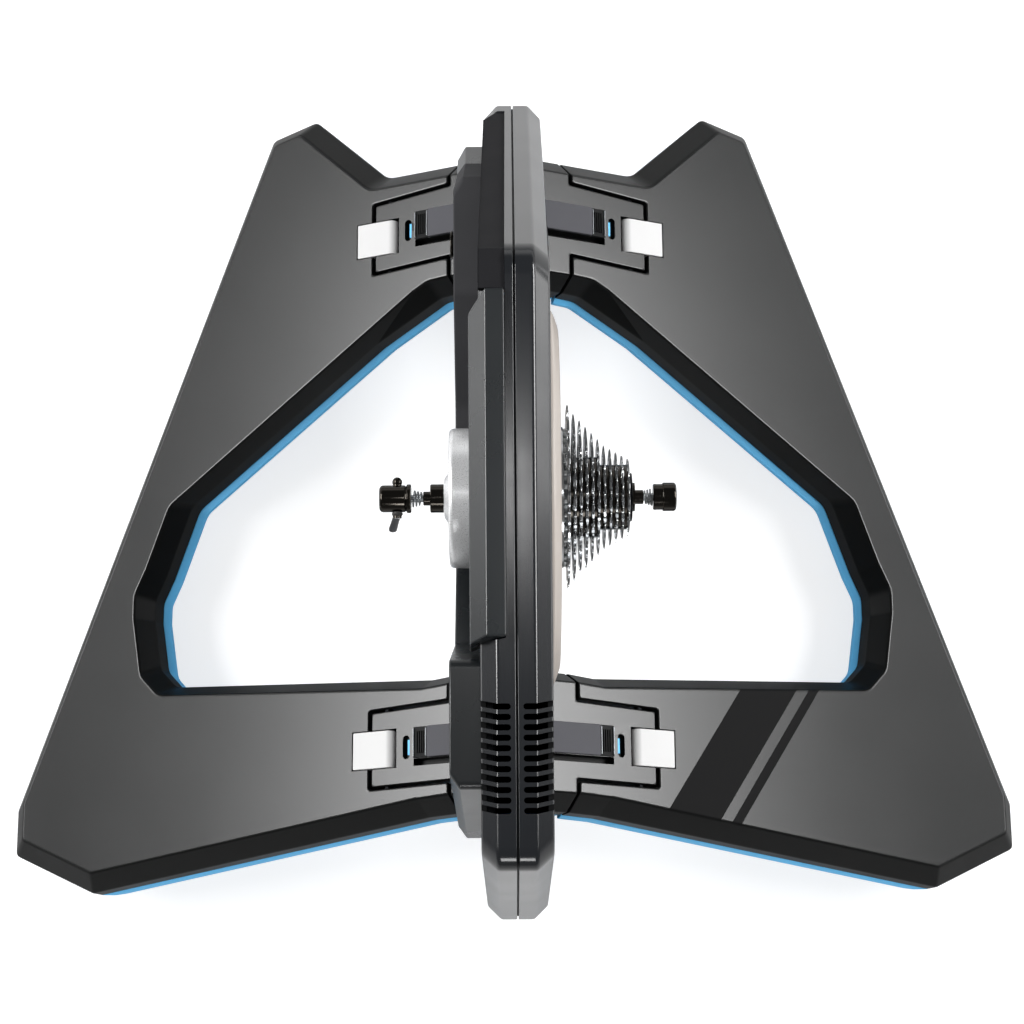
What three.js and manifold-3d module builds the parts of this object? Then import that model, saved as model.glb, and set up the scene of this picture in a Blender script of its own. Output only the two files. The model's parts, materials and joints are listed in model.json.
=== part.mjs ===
// A direct drive bike trainer: a slim upright casing with the flywheel and brake inside, an axle
// with a cassette where the bike's rear wheel would sit, and two wide legs that fold up.
// Millimetres. +X is the drive side, +Y is forward, +Z is up, and the floor is z = 0.
import * as THREE from "three";
import { mergeVertices } from "three/addons/utils/BufferGeometryUtils.js";
import Module from "manifold-3d";

const wasm = await Module();
wasm.setup();

const RIGHT_ANGLE = Math.PI / 2;
const FULL_TURN = 2 * Math.PI;
const radians = THREE.MathUtils.degToRad;

// Driving dimensions
const CASING_LENGTH = 575;
const TRAINER_HEIGHT = 550;
const CASING_BEHIND_CENTRE = 8;
const AXLE_BELOW_TOP = 220;
const AXLE_HEIGHT = TRAINER_HEIGHT - AXLE_BELOW_TOP;
const AXLE_BEHIND_MIDDLE = 15;
const DROPOUT_WIDTH = 130;
const DROPOUT_FACE_LEFT = -51.9;
const FIT_GAP = 0.3;
const MOVING_GAP = 0.5;
const CUT_OVERRUN = 2;

// The casing: two half shells that meet at the seam
const casing = {
  seam: 2,
  seamGap: 0.6,
  halfWidth: 20.2,
  crownHalfWidth: 11,
  bevelDepth: 12.5,
  wall: 3,
  bottom: 110,
  crownBelowTop: 2.5,
  noseHeight: 150,
  noseUnderReach: 16,
  noseUnderHeight: 118,
  bottomFrontBehindNose: 82.5,
  bottomRearBeforeTail: 97.5,
  tailHeight: 225,
  tailUnderReach: 27,
  tailUnderHeight: 150,
  topFrontBehindNose: 185.5,
  topRearBeforeTail: 47.5,
  topRearDrop: 6,
};
casing.nose = CASING_LENGTH / 2;
casing.crown = TRAINER_HEIGHT - casing.crownBelowTop;
casing.bottomFront = casing.nose - casing.bottomFrontBehindNose;
casing.bottomRear = casing.bottomRearBeforeTail - casing.nose;
casing.topFront = casing.nose - casing.topFrontBehindNose;
casing.topRear = casing.topRearBeforeTail - casing.nose;
casing.rightSide = casing.seam + casing.halfWidth;
casing.leftSide = casing.seam - casing.halfWidth;

const vents = { count: 11, pitch: 5.7, width: 3.4, firstBeforeTail: 137.5, fromSeam: 2.6, depth: 17 };

// The legs, in a frame of their own: x outboard down the slope from the hinge axis, y forward along
// the hinge axis, z square to the leg's flat top.
const leg = {
  slope: radians(24.8),
  hingePitch: radians(9.85),
  hingeFromMiddle: 87,
  heelClearance: 8.32,
  hingeDepth: 5,
  wallDepth: 18,
  bandDepth: 12,
  coverWall: 3,
  rearFlare: 11,
  heelFlare: 21.4,
  sideFlare: 15,
  noseFlare: 8,
  diagonalFlare: 2.5,
  curveFlare: 7,
  openingRearFlare: 9.5,
  seamReach: 48.5,
  rearEdge: 211.5,
  rearBendReach: 24,
  rearBend: 212.7,
  rearCornerInside: 61,
  rearCorner: 248,
  heelOut: 302,
  heelRear: 220,
  heelFront: 192.5,
  toeInside: 204,
  toeFront: 294,
  toeTipInside: 226,
  toeTipFront: 299,
  frontBendOut: 16.2,
  frontEdge: 243,
  openingFront: 165,
  openingShoulderReach: 32,
  openingShoulder: 164,
  openingTurnReach: 21.5,
  openingTurn: 158.5,
  openingElbowInside: 119.7,
  openingElbow: 20.8,
  openingCurveInside: 101.2,
  openingCurve: 25,
  openingWideInside: 91.5,
  openingWideFront: 44,
  openingWideRear: 61.5,
  openingHeelInside: 99,
  openingHeel: 106,
  openingRearInside: 114.6,
  openingRear: 122.2,
  openingRearTurnReach: 28,
  openingRearTurn: 136.5,
  openingRearEdge: 134.5,
};
leg.hingeHeight = leg.heelOut * Math.sin(leg.slope) + leg.heelClearance;
leg.toeOut = leg.heelOut - leg.toeInside;
leg.toeTipOut = leg.heelOut - leg.toeTipInside;
const tray = { depth: 7.7, sideInset: 8 };
const frame = { plate: 3, wall: 3, depth: 25, hollowFrom: 34, earReach: 16 };
const foot = { length: 76, width: 34, fromEdge: 12, heelBehind: 30, toeBehind: 44 };

// The tongues of the two fixed cross arms, each between a leg's two hinge ears
const tongue = {
  end: 11.3,
  width: 52,
  widerAtSeam: 0.9,
  gap: 1.8,
  depth: 38,
  fullDepth: 15,
  sideRelief: 2.6,
  knuckleGap: 0.2,
  frontAtEnd: 203.2,
  frontAtSeam: 207.9,
  rearAtEnd: -176.6,
  rearAtSeam: -174.6,
  rootReach: 92,
};
const pin = { radius: 3, earSeat: 6.2 };
const latch = {
  inboard: 5.5,
  outboard: 25.2,
  width: 26,
  thickness: 2.4,
  proud: 0.4,
  pivotOut: 20,
  pivotHeight: 0.5,
  pivotRadius: 1.3,
  pivotSeat: 2.2,
  hookOut: 14,
  hookThickness: 3,
  hookDepth: 9,
  pocketGap: 0.8,
  pocketEnd: 1.2,
  pocketDepth: 11,
  swingGap: 4.5,
  frontCentre: 203.2,
  rearCentre: -176.5,
};
const armCap = { outer: 22, inner: 69, width: 27, thickness: 2.2, bevel: 1.2, chamfer: 5 };
const slot = { reach: 16.2, length: 16.6, depth: 4.6, corner: 2.7, sides: 6 };
const lockTab = { width: 1.8, length: 10.6, thickness: 3.2 };

// The left side of the casing
const housing = {
  side: -39.6,
  bevelWidth: 6,
  bevelDepth: 9,
  hubClearance: 3,
  bottomFrontBehindNose: 63.5,
  noseBehindNose: 33.5,
  noseBottomAboveHinge: 17,
  noseTopAboveHinge: 47,
  frontShoulderBehindNose: 91.5,
  frontShoulderBelowAxle: 12,
  frontTop: 118,
  waist: 50,
  waistBelowAxle: 40,
  riseFrontBeforeTail: 179.5,
  riseFrontShareOfHeight: 0.61455,
  riseRearBeforeTail: 163.5,
  blockBelowTop: 58,
  blockRearBeforeTail: 90.5,
  tailBeforeTail: 55.5,
  tailHeight: 262,
  tailBottomAboveHinge: 89,
  hollowRear: 112,
  hollowBottomAboveHinge: 15,
};
housing.noseBottom = leg.hingeHeight + housing.noseBottomAboveHinge;
housing.noseTop = leg.hingeHeight + housing.noseTopAboveHinge;
housing.tailBottom = leg.hingeHeight + housing.tailBottomAboveHinge;
housing.hollowBottom = leg.hingeHeight + housing.hollowBottomAboveHinge;
housing.frontShoulderHeight = AXLE_HEIGHT - housing.frontShoulderBelowAxle;
housing.waistHeight = AXLE_HEIGHT - housing.waistBelowAxle;
const sideCover = {
  innerEdge: -3.6,
  crease: -14.4,
  outerEdge: -23.8,
  skirt: -25.2,
  creaseDrop: 0.8,
  outerDrop: 15,
  skirtBelowTop: 104,
  frontBehindNose: 216.5,
  rearBeforeTail: 182.5,
  endSlope: 9,
  endDrop: 3.4,
};
sideCover.front = casing.nose - sideCover.frontBehindNose;
sideCover.rear = casing.nose - sideCover.rearBeforeTail;
const frontCover = { innerEdge: -3.6, sink: 1.6, thickness: 7, lowEnd: 172, rearGap: 0.6 };
const innerFrame = { left: -14.6, right: -11.6, inset: 17, rim: 14, hubRadius: 24 };
const board = {
  left: -11.3,
  thickness: 1.8,
  frontBehindNose: 66.5,
  rearBehindNose: 137.5,
  bottomShareOfHeight: 0.3455,
  topShareOfHeight: 0.45,
};
board.bottom = TRAINER_HEIGHT * board.bottomShareOfHeight;
board.top = TRAINER_HEIGHT * board.topShareOfHeight;
const socket = {
  behindNose: 111.5,
  z: 196,
  radius: 8,
  collar: 10,
  collarLength: 2,
  length: 14,
  bore: 3.2,
  boreDepth: 9,
};

// The motor, hub and axle
const stator = { outer: 92, inner: 60, root: 78, left: -11.3, right: 5, teeth: 24, toothShare: 0.56 };
const rotor = {
  outer: 116,
  inner: 96,
  left: -9,
  web: 3,
  webRight: 12,
  hubRadius: 26,
  hubBore: 20.5,
  hubRight: 29.9,
};
const axle = { radius: 8, bore: 3.4, left: -42.6, right: 76.2 };
const bearing = { left: 14, right: 28 };
const hubCap = { radius: 44.5, left: -39.9, rounding: 3, bossRadius: 15, bossLeft: -42.9, bossRise: 4 };
const driveCover = { radius: 119, rimThickness: 3.2, bore: 28.6, outer: 29.7, rimRadius: 108 };
const hubFlange = {
  radius: 45,
  thickness: 2.3,
  gap: 0.3,
  bolts: 6,
  boltCircle: 36,
  boltRadius: 4,
  boltHeight: 1,
};
const adapter = {
  radius: 9.1,
  stubRadius: 4.5,
  leftStub: 4.5,
  rightStub: 5.5,
  leftThickness: 8.5,
  rightThickness: 1.6,
  bore: 2.8,
};

// The cassette
const cassette = {
  chainPitch: 12.7,
  teeth: [28, 25, 23, 21, 19, 17, 15, 14, 13, 12, 11],
  firstCentre: 35.4,
  pitch: 3.83,
  plate: 1.8,
  toothTip: 2.6,
  rootBelow: 3.6,
  toothRootShare: 0.62,
  toothTipShare: 0.2,
  collarWall: 3,
  carrierWall: 8,
  bodyRadius: 17.2,
  bodyLeft: 32.8,
};
const lockring = { thickness: 1.4, radius: 15.4, bore: 9.4 };

// The quick release skewer
const skewer = {
  rodRadius: 2.4,
  housingRadius: 8.6,
  housingFlange: 9.2,
  housingFlangeLength: 2.9,
  housingLength: 20.2,
  springSpaceLeft: 7.7,
  springSpaceRight: 6.2,
  nutRadius: 9.06,
  nutLength: 14.8,
  nutBore: 11,
  nutRounding: 1.5,
  gripStart: 1.9,
  gripEnd: 6.1,
  gripDepth: 0.6,
  gripGroove: 1.2,
  gripTeeth: 24,
  camFromEnd: 11.3,
  camRadius: 2.8,
  camGap: 0.3,
  rodFromCam: 0.6,
  knobRadius: 3.2,
  knobReach: 10.6,
  leverStart: 9.2,
  leverWidth: 8,
  leverThickness: 4,
  leverLength: 46,
  leverBend: 15,
  leverBendSweep: 5,
  leverSweep: 10,
  leverTipWidth: 10,
};
const spring = { wire: 0.9, curls: 3, smallRadius: 4.1, largeRadius: 6.7, steps: 8, sides: 5 };

// Colours and finishes
const material = (color, roughness, metalness) =>
  new THREE.MeshStandardMaterial({ color, roughness, metalness });
const materials = {
  shell: material(0x3a3e41, 0.6, 0),
  sideHousing: material(0x45494b, 0.6, 0),
  mattePanel: material(0x2e2f30, 0.85, 0),
  legTop: material(0x4a4a4a, 0.45, 0.1),
  legFrame: material(0x232426, 0.5, 0.4),
  blueTrim: material(0x4fb0e8, 0.5, 0),
  rubber: material(0x161617, 0.9, 0),
  arm: material(0x4c4d4f, 0.45, 0.3),
  armCap: material(0x55575a, 0.5, 0),
  latch: material(0xe2e3e4, 0.28, 0.9),
  steel: material(0xb4b7ba, 0.3, 1),
  aluminium: material(0xc9cbcc, 0.25, 1),
  paleCover: material(0xd6cec4, 0.35, 0.2),
  blackSteel: material(0x1a1b1c, 0.35, 0.6),
  copper: material(0x9a6a42, 0.4, 0.8),
  board: material(0x1d5a3a, 0.6, 0),
};

// Solids: closed geometries joined and cut

// A geometry as a closed solid with its faces out, whichever way it was wound.
function solid(geometry) {
  const plain = geometry.index ? geometry.clone() : mergeVertices(geometry);
  plain.deleteAttribute("normal");
  plain.deleteAttribute("uv");
  const merged = mergeVertices(plain);
  const corners = merged.index.array;
  const vertProperties = new Float32Array(merged.attributes.position.array);
  const made = new wasm.Manifold(
    new wasm.Mesh({ numProp: 3, vertProperties, triVerts: new Uint32Array(corners) }),
  );
  if (made.volume() > 0) return made;
  const turned = new Uint32Array(corners.length);
  for (let i = 0; i < corners.length; i += 3) {
    turned[i] = corners[i];
    turned[i + 1] = corners[i + 2];
    turned[i + 2] = corners[i + 1];
  }
  return new wasm.Manifold(new wasm.Mesh({ numProp: 3, vertProperties, triVerts: turned }));
}

const join = (...solids) => solids.reduce((all, next) => all.add(next));
const cut = (body, ...tools) => tools.reduce((left, tool) => left.subtract(tool), body);

// A solid moved by a matrix, mirrored ones included.
function placed(body, matrix) {
  return solid(geometryOf(body).applyMatrix4(matrix));
}

function geometryOf(body) {
  const mesh = body.getMesh();
  const positions = new Float32Array(mesh.numVert * 3);
  for (let i = 0; i < mesh.numVert; i++) {
    positions.set(mesh.vertProperties.subarray(i * mesh.numProp, i * mesh.numProp + 3), i * 3);
  }
  return new THREE.BufferGeometry()
    .setAttribute("position", new THREE.BufferAttribute(positions, 3))
    .setIndex(new THREE.BufferAttribute(new Uint32Array(mesh.triVerts), 1));
}

// Outlines stacked along z, all with the same number of points, as one solid.
function loft(levels) {
  const count = levels[0].outline.length;
  const positions = levels.flatMap(({ outline, at }) => outline.flatMap(([x, y]) => [x, y, at]));
  const capOf = (outline) =>
    THREE.ShapeUtils.triangulateShape(outline.map(([x, y]) => new THREE.Vector2(x, y)), []);
  const indices = capOf(levels[0].outline).flatMap(([a, b, c]) => [c, b, a]);
  const top = (levels.length - 1) * count;
  indices.push(...capOf(levels.at(-1).outline).flatMap(([a, b, c]) => [top + a, top + b, top + c]));
  for (let level = 0; level < levels.length - 1; level++) {
    for (let i = 0; i < count; i++) {
      const a = level * count + i;
      const b = level * count + ((i + 1) % count);
      indices.push(a, b, b + count, a, b + count, a + count);
    }
  }
  const geometry = new THREE.BufferGeometry();
  geometry.setAttribute("position", new THREE.Float32BufferAttribute(positions, 3));
  geometry.setIndex(indices);
  return solid(geometry);
}

const prism = (outline, low, high) => loft([{ outline, at: low }, { outline, at: high }]);

// Outlines drawn in (y, z) and stacked along x.
const ALONG_X = new THREE.Matrix4().set(0, 0, 1, 0, 1, 0, 0, 0, 0, 1, 0, 0, 0, 0, 0, 1);
const loftAlongX = (levels) => placed(loft(levels), ALONG_X);
const prismAlongX = (outline, low, high) => placed(prism(outline, low, high), ALONG_X);

// Outlines drawn in (x, z) and stacked along y, backwards from the first level.
const ALONG_Y = new THREE.Matrix4().makeRotationX(RIGHT_ANGLE);
const loftAlongY = (levels) => placed(loft(levels), ALONG_Y);

function box(x0, x1, y0, y1, z0, z1) {
  const geometry = new THREE.BoxGeometry(x1 - x0, y1 - y0, z1 - z0);
  return solid(geometry.translate((x0 + x1) / 2, (y0 + y1) / 2, (z0 + z1) / 2));
}

// A profile of [place on the axis, radius] pairs, turned about the x axis.
function turned(profile, segments = 24) {
  const points = profile.map(([along, radius]) => new THREE.Vector2(radius, along));
  const closed = profile[0][1] === 0 && profile.at(-1)[1] === 0;
  if (!closed) points.push(points[0].clone());
  return solid(new THREE.LatheGeometry(points, segments).rotateZ(-RIGHT_ANGLE));
}

const ring = (left, right, inner, outer, segments = 32) =>
  turned([[left, inner], [left, outer], [right, outer], [right, inner]], segments);
const rod = (left, right, radius, segments = 24) =>
  turned([[left, 0], [left, radius], [right, radius], [right, 0]], segments);

// A round bar along y.
function barAlongY(x, z, radius, y0, y1, segments = 16) {
  const geometry = new THREE.CylinderGeometry(radius, radius, y1 - y0, segments);
  return solid(geometry.translate(x, (y0 + y1) / 2, z));
}

// An outline with each edge moved outwards by its own distance. Edge i runs from point i to the next.
function moved(outline, distances) {
  const distanceOf = (i) => (Array.isArray(distances) ? distances[i] : distances);
  const edges = outline.map(([x, y], i) => {
    const [nextX, nextY] = outline[(i + 1) % outline.length];
    const along = new THREE.Vector2(nextX - x, nextY - y).normalize();
    const outward = new THREE.Vector2(along.y, -along.x);
    return { along, start: new THREE.Vector2(x, y).addScaledVector(outward, distanceOf(i)) };
  });
  return edges.map((edge, i) => {
    const before = edges[(i + edges.length - 1) % edges.length];
    const turn = before.along.cross(edge.along);
    if (Math.abs(turn) < Number.EPSILON) return [edge.start.x, edge.start.y];
    const gap = edge.start.clone().sub(before.start);
    const corner = before.start.clone().addScaledVector(before.along, gap.cross(edge.along) / turn);
    return [corner.x, corner.y];
  });
}

// The casing

const noseOutline = [
  [casing.bottomRear, casing.bottom],
  [casing.bottomFront, casing.bottom],
  [casing.nose - casing.noseUnderReach, casing.noseUnderHeight],
  [casing.nose, casing.noseHeight],
  [casing.topFront, casing.crown],
  [casing.topRear, casing.crown - casing.topRearDrop],
  [-casing.nose, casing.tailHeight],
  [casing.tailUnderReach - casing.nose, casing.tailUnderHeight],
];

// Half of the casing on the +x side of a seam at x = 0.
function halfShell() {
  const start = casing.seamGap / 2;
  const inner = moved(noseOutline, -casing.wall);
  const outside = loftAlongX([
    { outline: noseOutline, at: start },
    { outline: noseOutline, at: casing.crownHalfWidth },
    { outline: moved(noseOutline, -casing.bevelDepth), at: casing.halfWidth },
  ]);
  const inside = loftAlongX([
    { outline: inner, at: start - CUT_OVERRUN },
    { outline: inner, at: casing.crownHalfWidth - casing.wall / 2 },
    { outline: moved(inner, -casing.bevelDepth), at: casing.halfWidth - casing.wall },
  ]);
  return cut(outside, inside, ...ventCuts());
}

// Slots across the crown near the rear, each down over the bevel.
function ventCuts() {
  return Array.from({ length: vents.count }, (_, i) => {
    const middle = vents.firstBeforeTail - casing.nose - i * vents.pitch;
    const top = casing.crown + CUT_OVERRUN;
    return box(
      vents.fromSeam,
      casing.halfWidth + CUT_OVERRUN,
      middle - vents.width / 2,
      middle + vents.width / 2,
      casing.crown - vents.depth,
      top,
    );
  });
}

const axleY = -AXLE_BEHIND_MIDDLE;
const onAxle = (body) =>
  placed(body, new THREE.Matrix4().makeTranslation(0, axleY, AXLE_HEIGHT));

// The raised cover over the upper left edge of the casing, drawn in (x, z).
function sideCoverOutline(grow) {
  const outline = [
    [sideCover.skirt, TRAINER_HEIGHT - sideCover.skirtBelowTop],
    [casing.leftSide - FIT_GAP, TRAINER_HEIGHT - sideCover.skirtBelowTop],
    [casing.leftSide - FIT_GAP, casing.crown - casing.bevelDepth - casing.wall],
    [sideCover.innerEdge, casing.crown - casing.wall],
    [sideCover.innerEdge, TRAINER_HEIGHT],
    [sideCover.crease, TRAINER_HEIGHT - sideCover.creaseDrop],
    [sideCover.outerEdge, TRAINER_HEIGHT - sideCover.outerDrop],
  ];
  return moved(outline, grow);
}

function sideCoverSolid(grow = 0) {
  const full = sideCoverOutline(grow);
  const low = casing.crown - casing.wall + FIT_GAP;
  const small = full.map(([x, z]) => [x, z > low ? z - sideCover.endDrop : z]);
  return loftAlongY([
    { outline: small, at: -sideCover.front - sideCover.endSlope - grow },
    { outline: full, at: -sideCover.front },
    { outline: full, at: sideCover.rear },
    { outline: small, at: sideCover.rear + sideCover.endSlope + grow },
  ]);
}

// The matte cover on the front slope: a strip that follows the slope a little below the crown.
function frontCoverSolid(grow = 0) {
  const slope = new THREE.Vector2(casing.topFront - casing.nose, casing.crown - casing.noseHeight);
  const at = (height, sink) => {
    const share = (height - casing.noseHeight) / slope.y;
    return [casing.nose + slope.x * share - sink, height];
  };
  const strip = (low, sink) => [
    at(low, sink + frontCover.thickness),
    at(low, sink),
    at(casing.crown - frontCover.sink, sink),
    [sideCover.front + sideCover.endSlope + frontCover.rearGap, casing.crown - frontCover.sink],
    [
      sideCover.front + sideCover.endSlope + frontCover.rearGap,
      casing.crown - frontCover.sink - frontCover.thickness,
    ],
    at(casing.crown - frontCover.sink - frontCover.thickness, sink + frontCover.thickness),
  ];
  const side = moved(strip(frontCover.lowEnd, frontCover.sink), grow);
  return prismAlongX(side, casing.leftSide - grow, frontCover.innerEdge + grow);
}

// The low housing on the left of the casing, drawn in (y, z).
function housingOutline() {
  const tail = housing.tailBeforeTail - casing.nose;
  return [
    [tail, housing.tailBottom],
    [-housing.hollowRear, housing.tailBottom],
    [-housing.hollowRear + (housing.tailBottom - housing.hollowBottom), housing.hollowBottom],
    [casing.nose - housing.bottomFrontBehindNose, housing.noseBottom],
    [casing.nose - housing.noseBehindNose, housing.noseTop],
    [casing.nose - housing.frontShoulderBehindNose, housing.frontShoulderHeight],
    [housing.frontTop, AXLE_HEIGHT],
    [housing.waist, housing.waistHeight],
    [-housing.waist, housing.waistHeight],
    [housing.riseFrontBeforeTail - casing.nose, TRAINER_HEIGHT * housing.riseFrontShareOfHeight],
    [housing.riseRearBeforeTail - casing.nose, TRAINER_HEIGHT - housing.blockBelowTop],
    [housing.blockRearBeforeTail - casing.nose, TRAINER_HEIGHT - housing.blockBelowTop],
    [tail, housing.tailHeight],
  ];
}

function housingSolid() {
  const outline = housingOutline();
  const body = loftAlongX([
    { outline: moved(outline, -housing.bevelDepth), at: housing.side },
    { outline, at: housing.side + housing.bevelWidth },
    { outline, at: casing.leftSide - FIT_GAP },
  ]);
  const inner = moved(outline, -casing.wall);
  const hollow = loftAlongX([
    { outline: moved(inner, -housing.bevelDepth), at: housing.side + casing.wall },
    { outline: inner, at: housing.side + housing.bevelWidth + casing.wall / 2 },
    { outline: inner, at: casing.leftSide + CUT_OVERRUN },
  ]);
  const holeRadius = hubCap.radius + housing.hubClearance;
  const hubHole = onAxle(
    rod(housing.side - CUT_OVERRUN, casing.leftSide + CUT_OVERRUN, holeRadius, 40),
  );
  return cut(body, hollow, hubHole);
}

// The legs

// The leg's outline as [x, y, kind of the edge that starts here, at a notch for a tongue].
function legPoints() {
  const gap = tongue.gap;
  const endOut = tongue.end + gap;
  const half = tongue.width / 2 + gap;
  const seamHalf = half + tongue.widerAtSeam;
  return [
    [-leg.seamReach, -leg.rearEdge, "rear"],
    [-leg.rearBendReach, -leg.rearBend, "rear"],
    [leg.heelOut - leg.rearCornerInside, -leg.rearCorner, "side"],
    [leg.heelOut, -leg.heelRear, "heel"],
    [leg.heelOut, -leg.heelFront, "side"],
    [leg.toeOut, leg.toeFront, "side"],
    [leg.toeTipOut, leg.toeTipFront, "side"],
    [leg.frontBendOut, leg.frontEdge, "side"],
    [-leg.seamReach, leg.frontEdge, "seam"],
    [-leg.seamReach, tongue.frontAtSeam + seamHalf, "notch", true],
    [endOut, tongue.frontAtEnd + half, "notch", true],
    [endOut, tongue.frontAtEnd - half, "notch", true],
    [-leg.seamReach, tongue.frontAtSeam - seamHalf, "seam", true],
    [-leg.seamReach, leg.openingFront, "nose"],
    [-leg.openingShoulderReach, leg.openingShoulder, "nose"],
    [-leg.openingTurnReach, leg.openingTurn, "diagonal"],
    [leg.heelOut - leg.openingElbowInside, leg.openingElbow, "curve"],
    [leg.heelOut - leg.openingCurveInside, -leg.openingCurve, "curve"],
    [leg.heelOut - leg.openingWideInside, -leg.openingWideFront, "curve"],
    [leg.heelOut - leg.openingWideInside, -leg.openingWideRear, "curve"],
    [leg.heelOut - leg.openingHeelInside, -leg.openingHeel, "openingRear"],
    [leg.heelOut - leg.openingRearInside, -leg.openingRear, "openingRear"],
    [-leg.openingRearTurnReach, -leg.openingRearTurn, "openingRear"],
    [-leg.seamReach, -leg.openingRearEdge, "seam"],
    [-leg.seamReach, tongue.rearAtSeam + seamHalf, "notch", true],
    [endOut, tongue.rearAtEnd + half, "notch", true],
    [endOut, tongue.rearAtEnd - half, "notch", true],
    [-leg.seamReach, tongue.rearAtSeam - seamHalf, "seam", true],
  ];
}

const legOutline = legPoints().map(([x, y]) => [x, y]);
const legEdges = (distances) => legPoints().map(([, , kind]) => distances[kind]);
const legTop = leg.hingeDepth;
const wallBottom = legTop - leg.wallDepth;
const coverBottom = wallBottom - leg.bandDepth;
const flares = {
  rear: leg.rearFlare,
  heel: leg.heelFlare,
  side: leg.sideFlare,
  seam: 0,
  notch: 0,
  nose: leg.noseFlare,
  diagonal: leg.diagonalFlare,
  curve: leg.curveFlare,
  openingRear: leg.openingRearFlare,
};

function pocket(centre, low, high) {
  const half = latch.width / 2 + latch.pocketGap;
  return box(tongue.end, latch.outboard + latch.pocketEnd, centre - half, centre + half, low, high);
}

const latchCentres = { front: latch.frontCentre, rear: latch.rearCentre };
const pinEnds = {
  front: [
    tongue.frontAtEnd - tongue.width / 2 - pin.earSeat - tongue.gap,
    tongue.frontAtEnd + tongue.width / 2 + pin.earSeat + tongue.gap,
  ],
  rear: [
    tongue.rearAtEnd - tongue.width / 2 - pin.earSeat - tongue.gap,
    tongue.rearAtEnd + tongue.width / 2 + pin.earSeat + tongue.gap,
  ],
};

const pinBores = (grow) =>
  Object.values(pinEnds).map(([rear, front]) =>
    barAlongY(0, 0, pin.radius + grow, rear - grow, front + grow),
  );

// The cover's outline at its three levels: the flat top, the foot of the sloping wall and the foot
// of the straight band below it.
function coverLevels(inset, over) {
  const top = moved(legOutline, -inset);
  const rim = moved(top, legEdges(flares));
  return loft([
    { outline: rim, at: coverBottom - over },
    { outline: rim, at: wallBottom },
    { outline: top, at: legTop - inset },
  ]);
}

function legCover() {
  const pockets = Object.values(latchCentres).map((y) =>
    pocket(y, -latch.pocketDepth, legTop + CUT_OVERRUN),
  );
  return cut(coverLevels(0, 0), coverLevels(leg.coverWall, CUT_OVERRUN), ...pockets, ...pinBores(FIT_GAP));
}

function legFrame() {
  const top = legTop - leg.coverWall - FIT_GAP;
  const inset = leg.coverWall + FIT_GAP;
  const bottom = top - frame.depth;
  const full = prism(moved(legOutline, -inset), bottom, top);
  const reach = CASING_LENGTH;
  const plain = legPoints().filter(([, , , ear]) => !ear);
  const hollow = prism(
    moved(
      plain.map(([x, y]) => [x, y]),
      -inset - frame.wall,
    ),
    bottom - CUT_OVERRUN,
    top - frame.plate,
  ).intersect(box(frame.hollowFrom, reach, -reach, reach, bottom - CUT_OVERRUN, top));
  const earEnds = box(-reach, -frame.earReach, -reach, reach, bottom - CUT_OVERRUN, top + CUT_OVERRUN);
  const pockets = Object.values(latchCentres).map((y) =>
    pocket(y, -latch.pocketDepth, top + CUT_OVERRUN),
  );
  return cut(full, hollow, earEnds, ...pockets, ...latchSpindles(FIT_GAP), ...pinBores(FIT_GAP));
}

const latchSpindles = (grow) =>
  Object.values(latchCentres).map((y) => {
    const half = latch.width / 2 + latch.pocketGap + latch.pivotSeat + grow;
    return barAlongY(latch.pivotOut, latch.pivotHeight, latch.pivotRadius + grow, y - half, y + half, 12);
  });

// The tray under a leg, in the trim colour. It shows below the cover inside the opening and along
// the rear edge, and leans in under the outer edges.
function legTray() {
  const rim = moved(legOutline, legEdges(flares));
  const under = {
    rear: 0,
    heel: -tray.sideInset,
    side: -tray.sideInset,
    seam: 0,
    notch: 0,
    nose: 0,
    diagonal: 0,
    curve: 0,
    openingRear: 0,
  };
  const top = coverBottom - FIT_GAP;
  return loft([
    { outline: moved(rim, legEdges(under)), at: top - tray.depth },
    { outline: rim, at: top },
  ]);
}

const trayBottom = coverBottom - FIT_GAP - tray.depth;

// The leg frame's place on the drive side. The other leg is its mirror image.
const legPlace = new THREE.Matrix4().compose(
  new THREE.Vector3(leg.hingeFromMiddle, 0, leg.hingeHeight),
  new THREE.Quaternion().setFromEuler(new THREE.Euler(-leg.hingePitch, leg.slope, 0)),
  new THREE.Vector3(1, 1, 1),
);
const intoLeg = legPlace.clone().invert();
const mirror = new THREE.Matrix4().makeScale(-1, 1, 1);

// A wedge of rubber from the tray down to the floor, a set way behind one end of the outer edge.
function legFoot(fromX, fromY, behind) {
  const edge = new THREE.Vector2(leg.heelOut - leg.toeOut, -leg.heelFront - leg.toeFront).normalize();
  const inward = new THREE.Vector2(edge.y, -edge.x);
  const corner = new THREE.Vector2(fromX, fromY)
    .addScaledVector(edge, behind)
    .addScaledVector(inward, foot.fromEdge - leg.sideFlare);
  const outline = [
    [0, 0],
    [0, foot.width],
    [foot.length, foot.width],
    [foot.length, 0],
  ].map(([along, across]) => [
    corner.x + edge.x * along + inward.x * across,
    corner.y + edge.y * along + inward.y * across,
  ]);
  const block = prism(outline, trayBottom - foot.width, trayBottom - FIT_GAP);
  const reach = CASING_LENGTH;
  const aboveFloor = placed(box(-reach, reach, -reach, reach, 0, reach), intoLeg);
  return block.intersect(aboveFloor);
}

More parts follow.
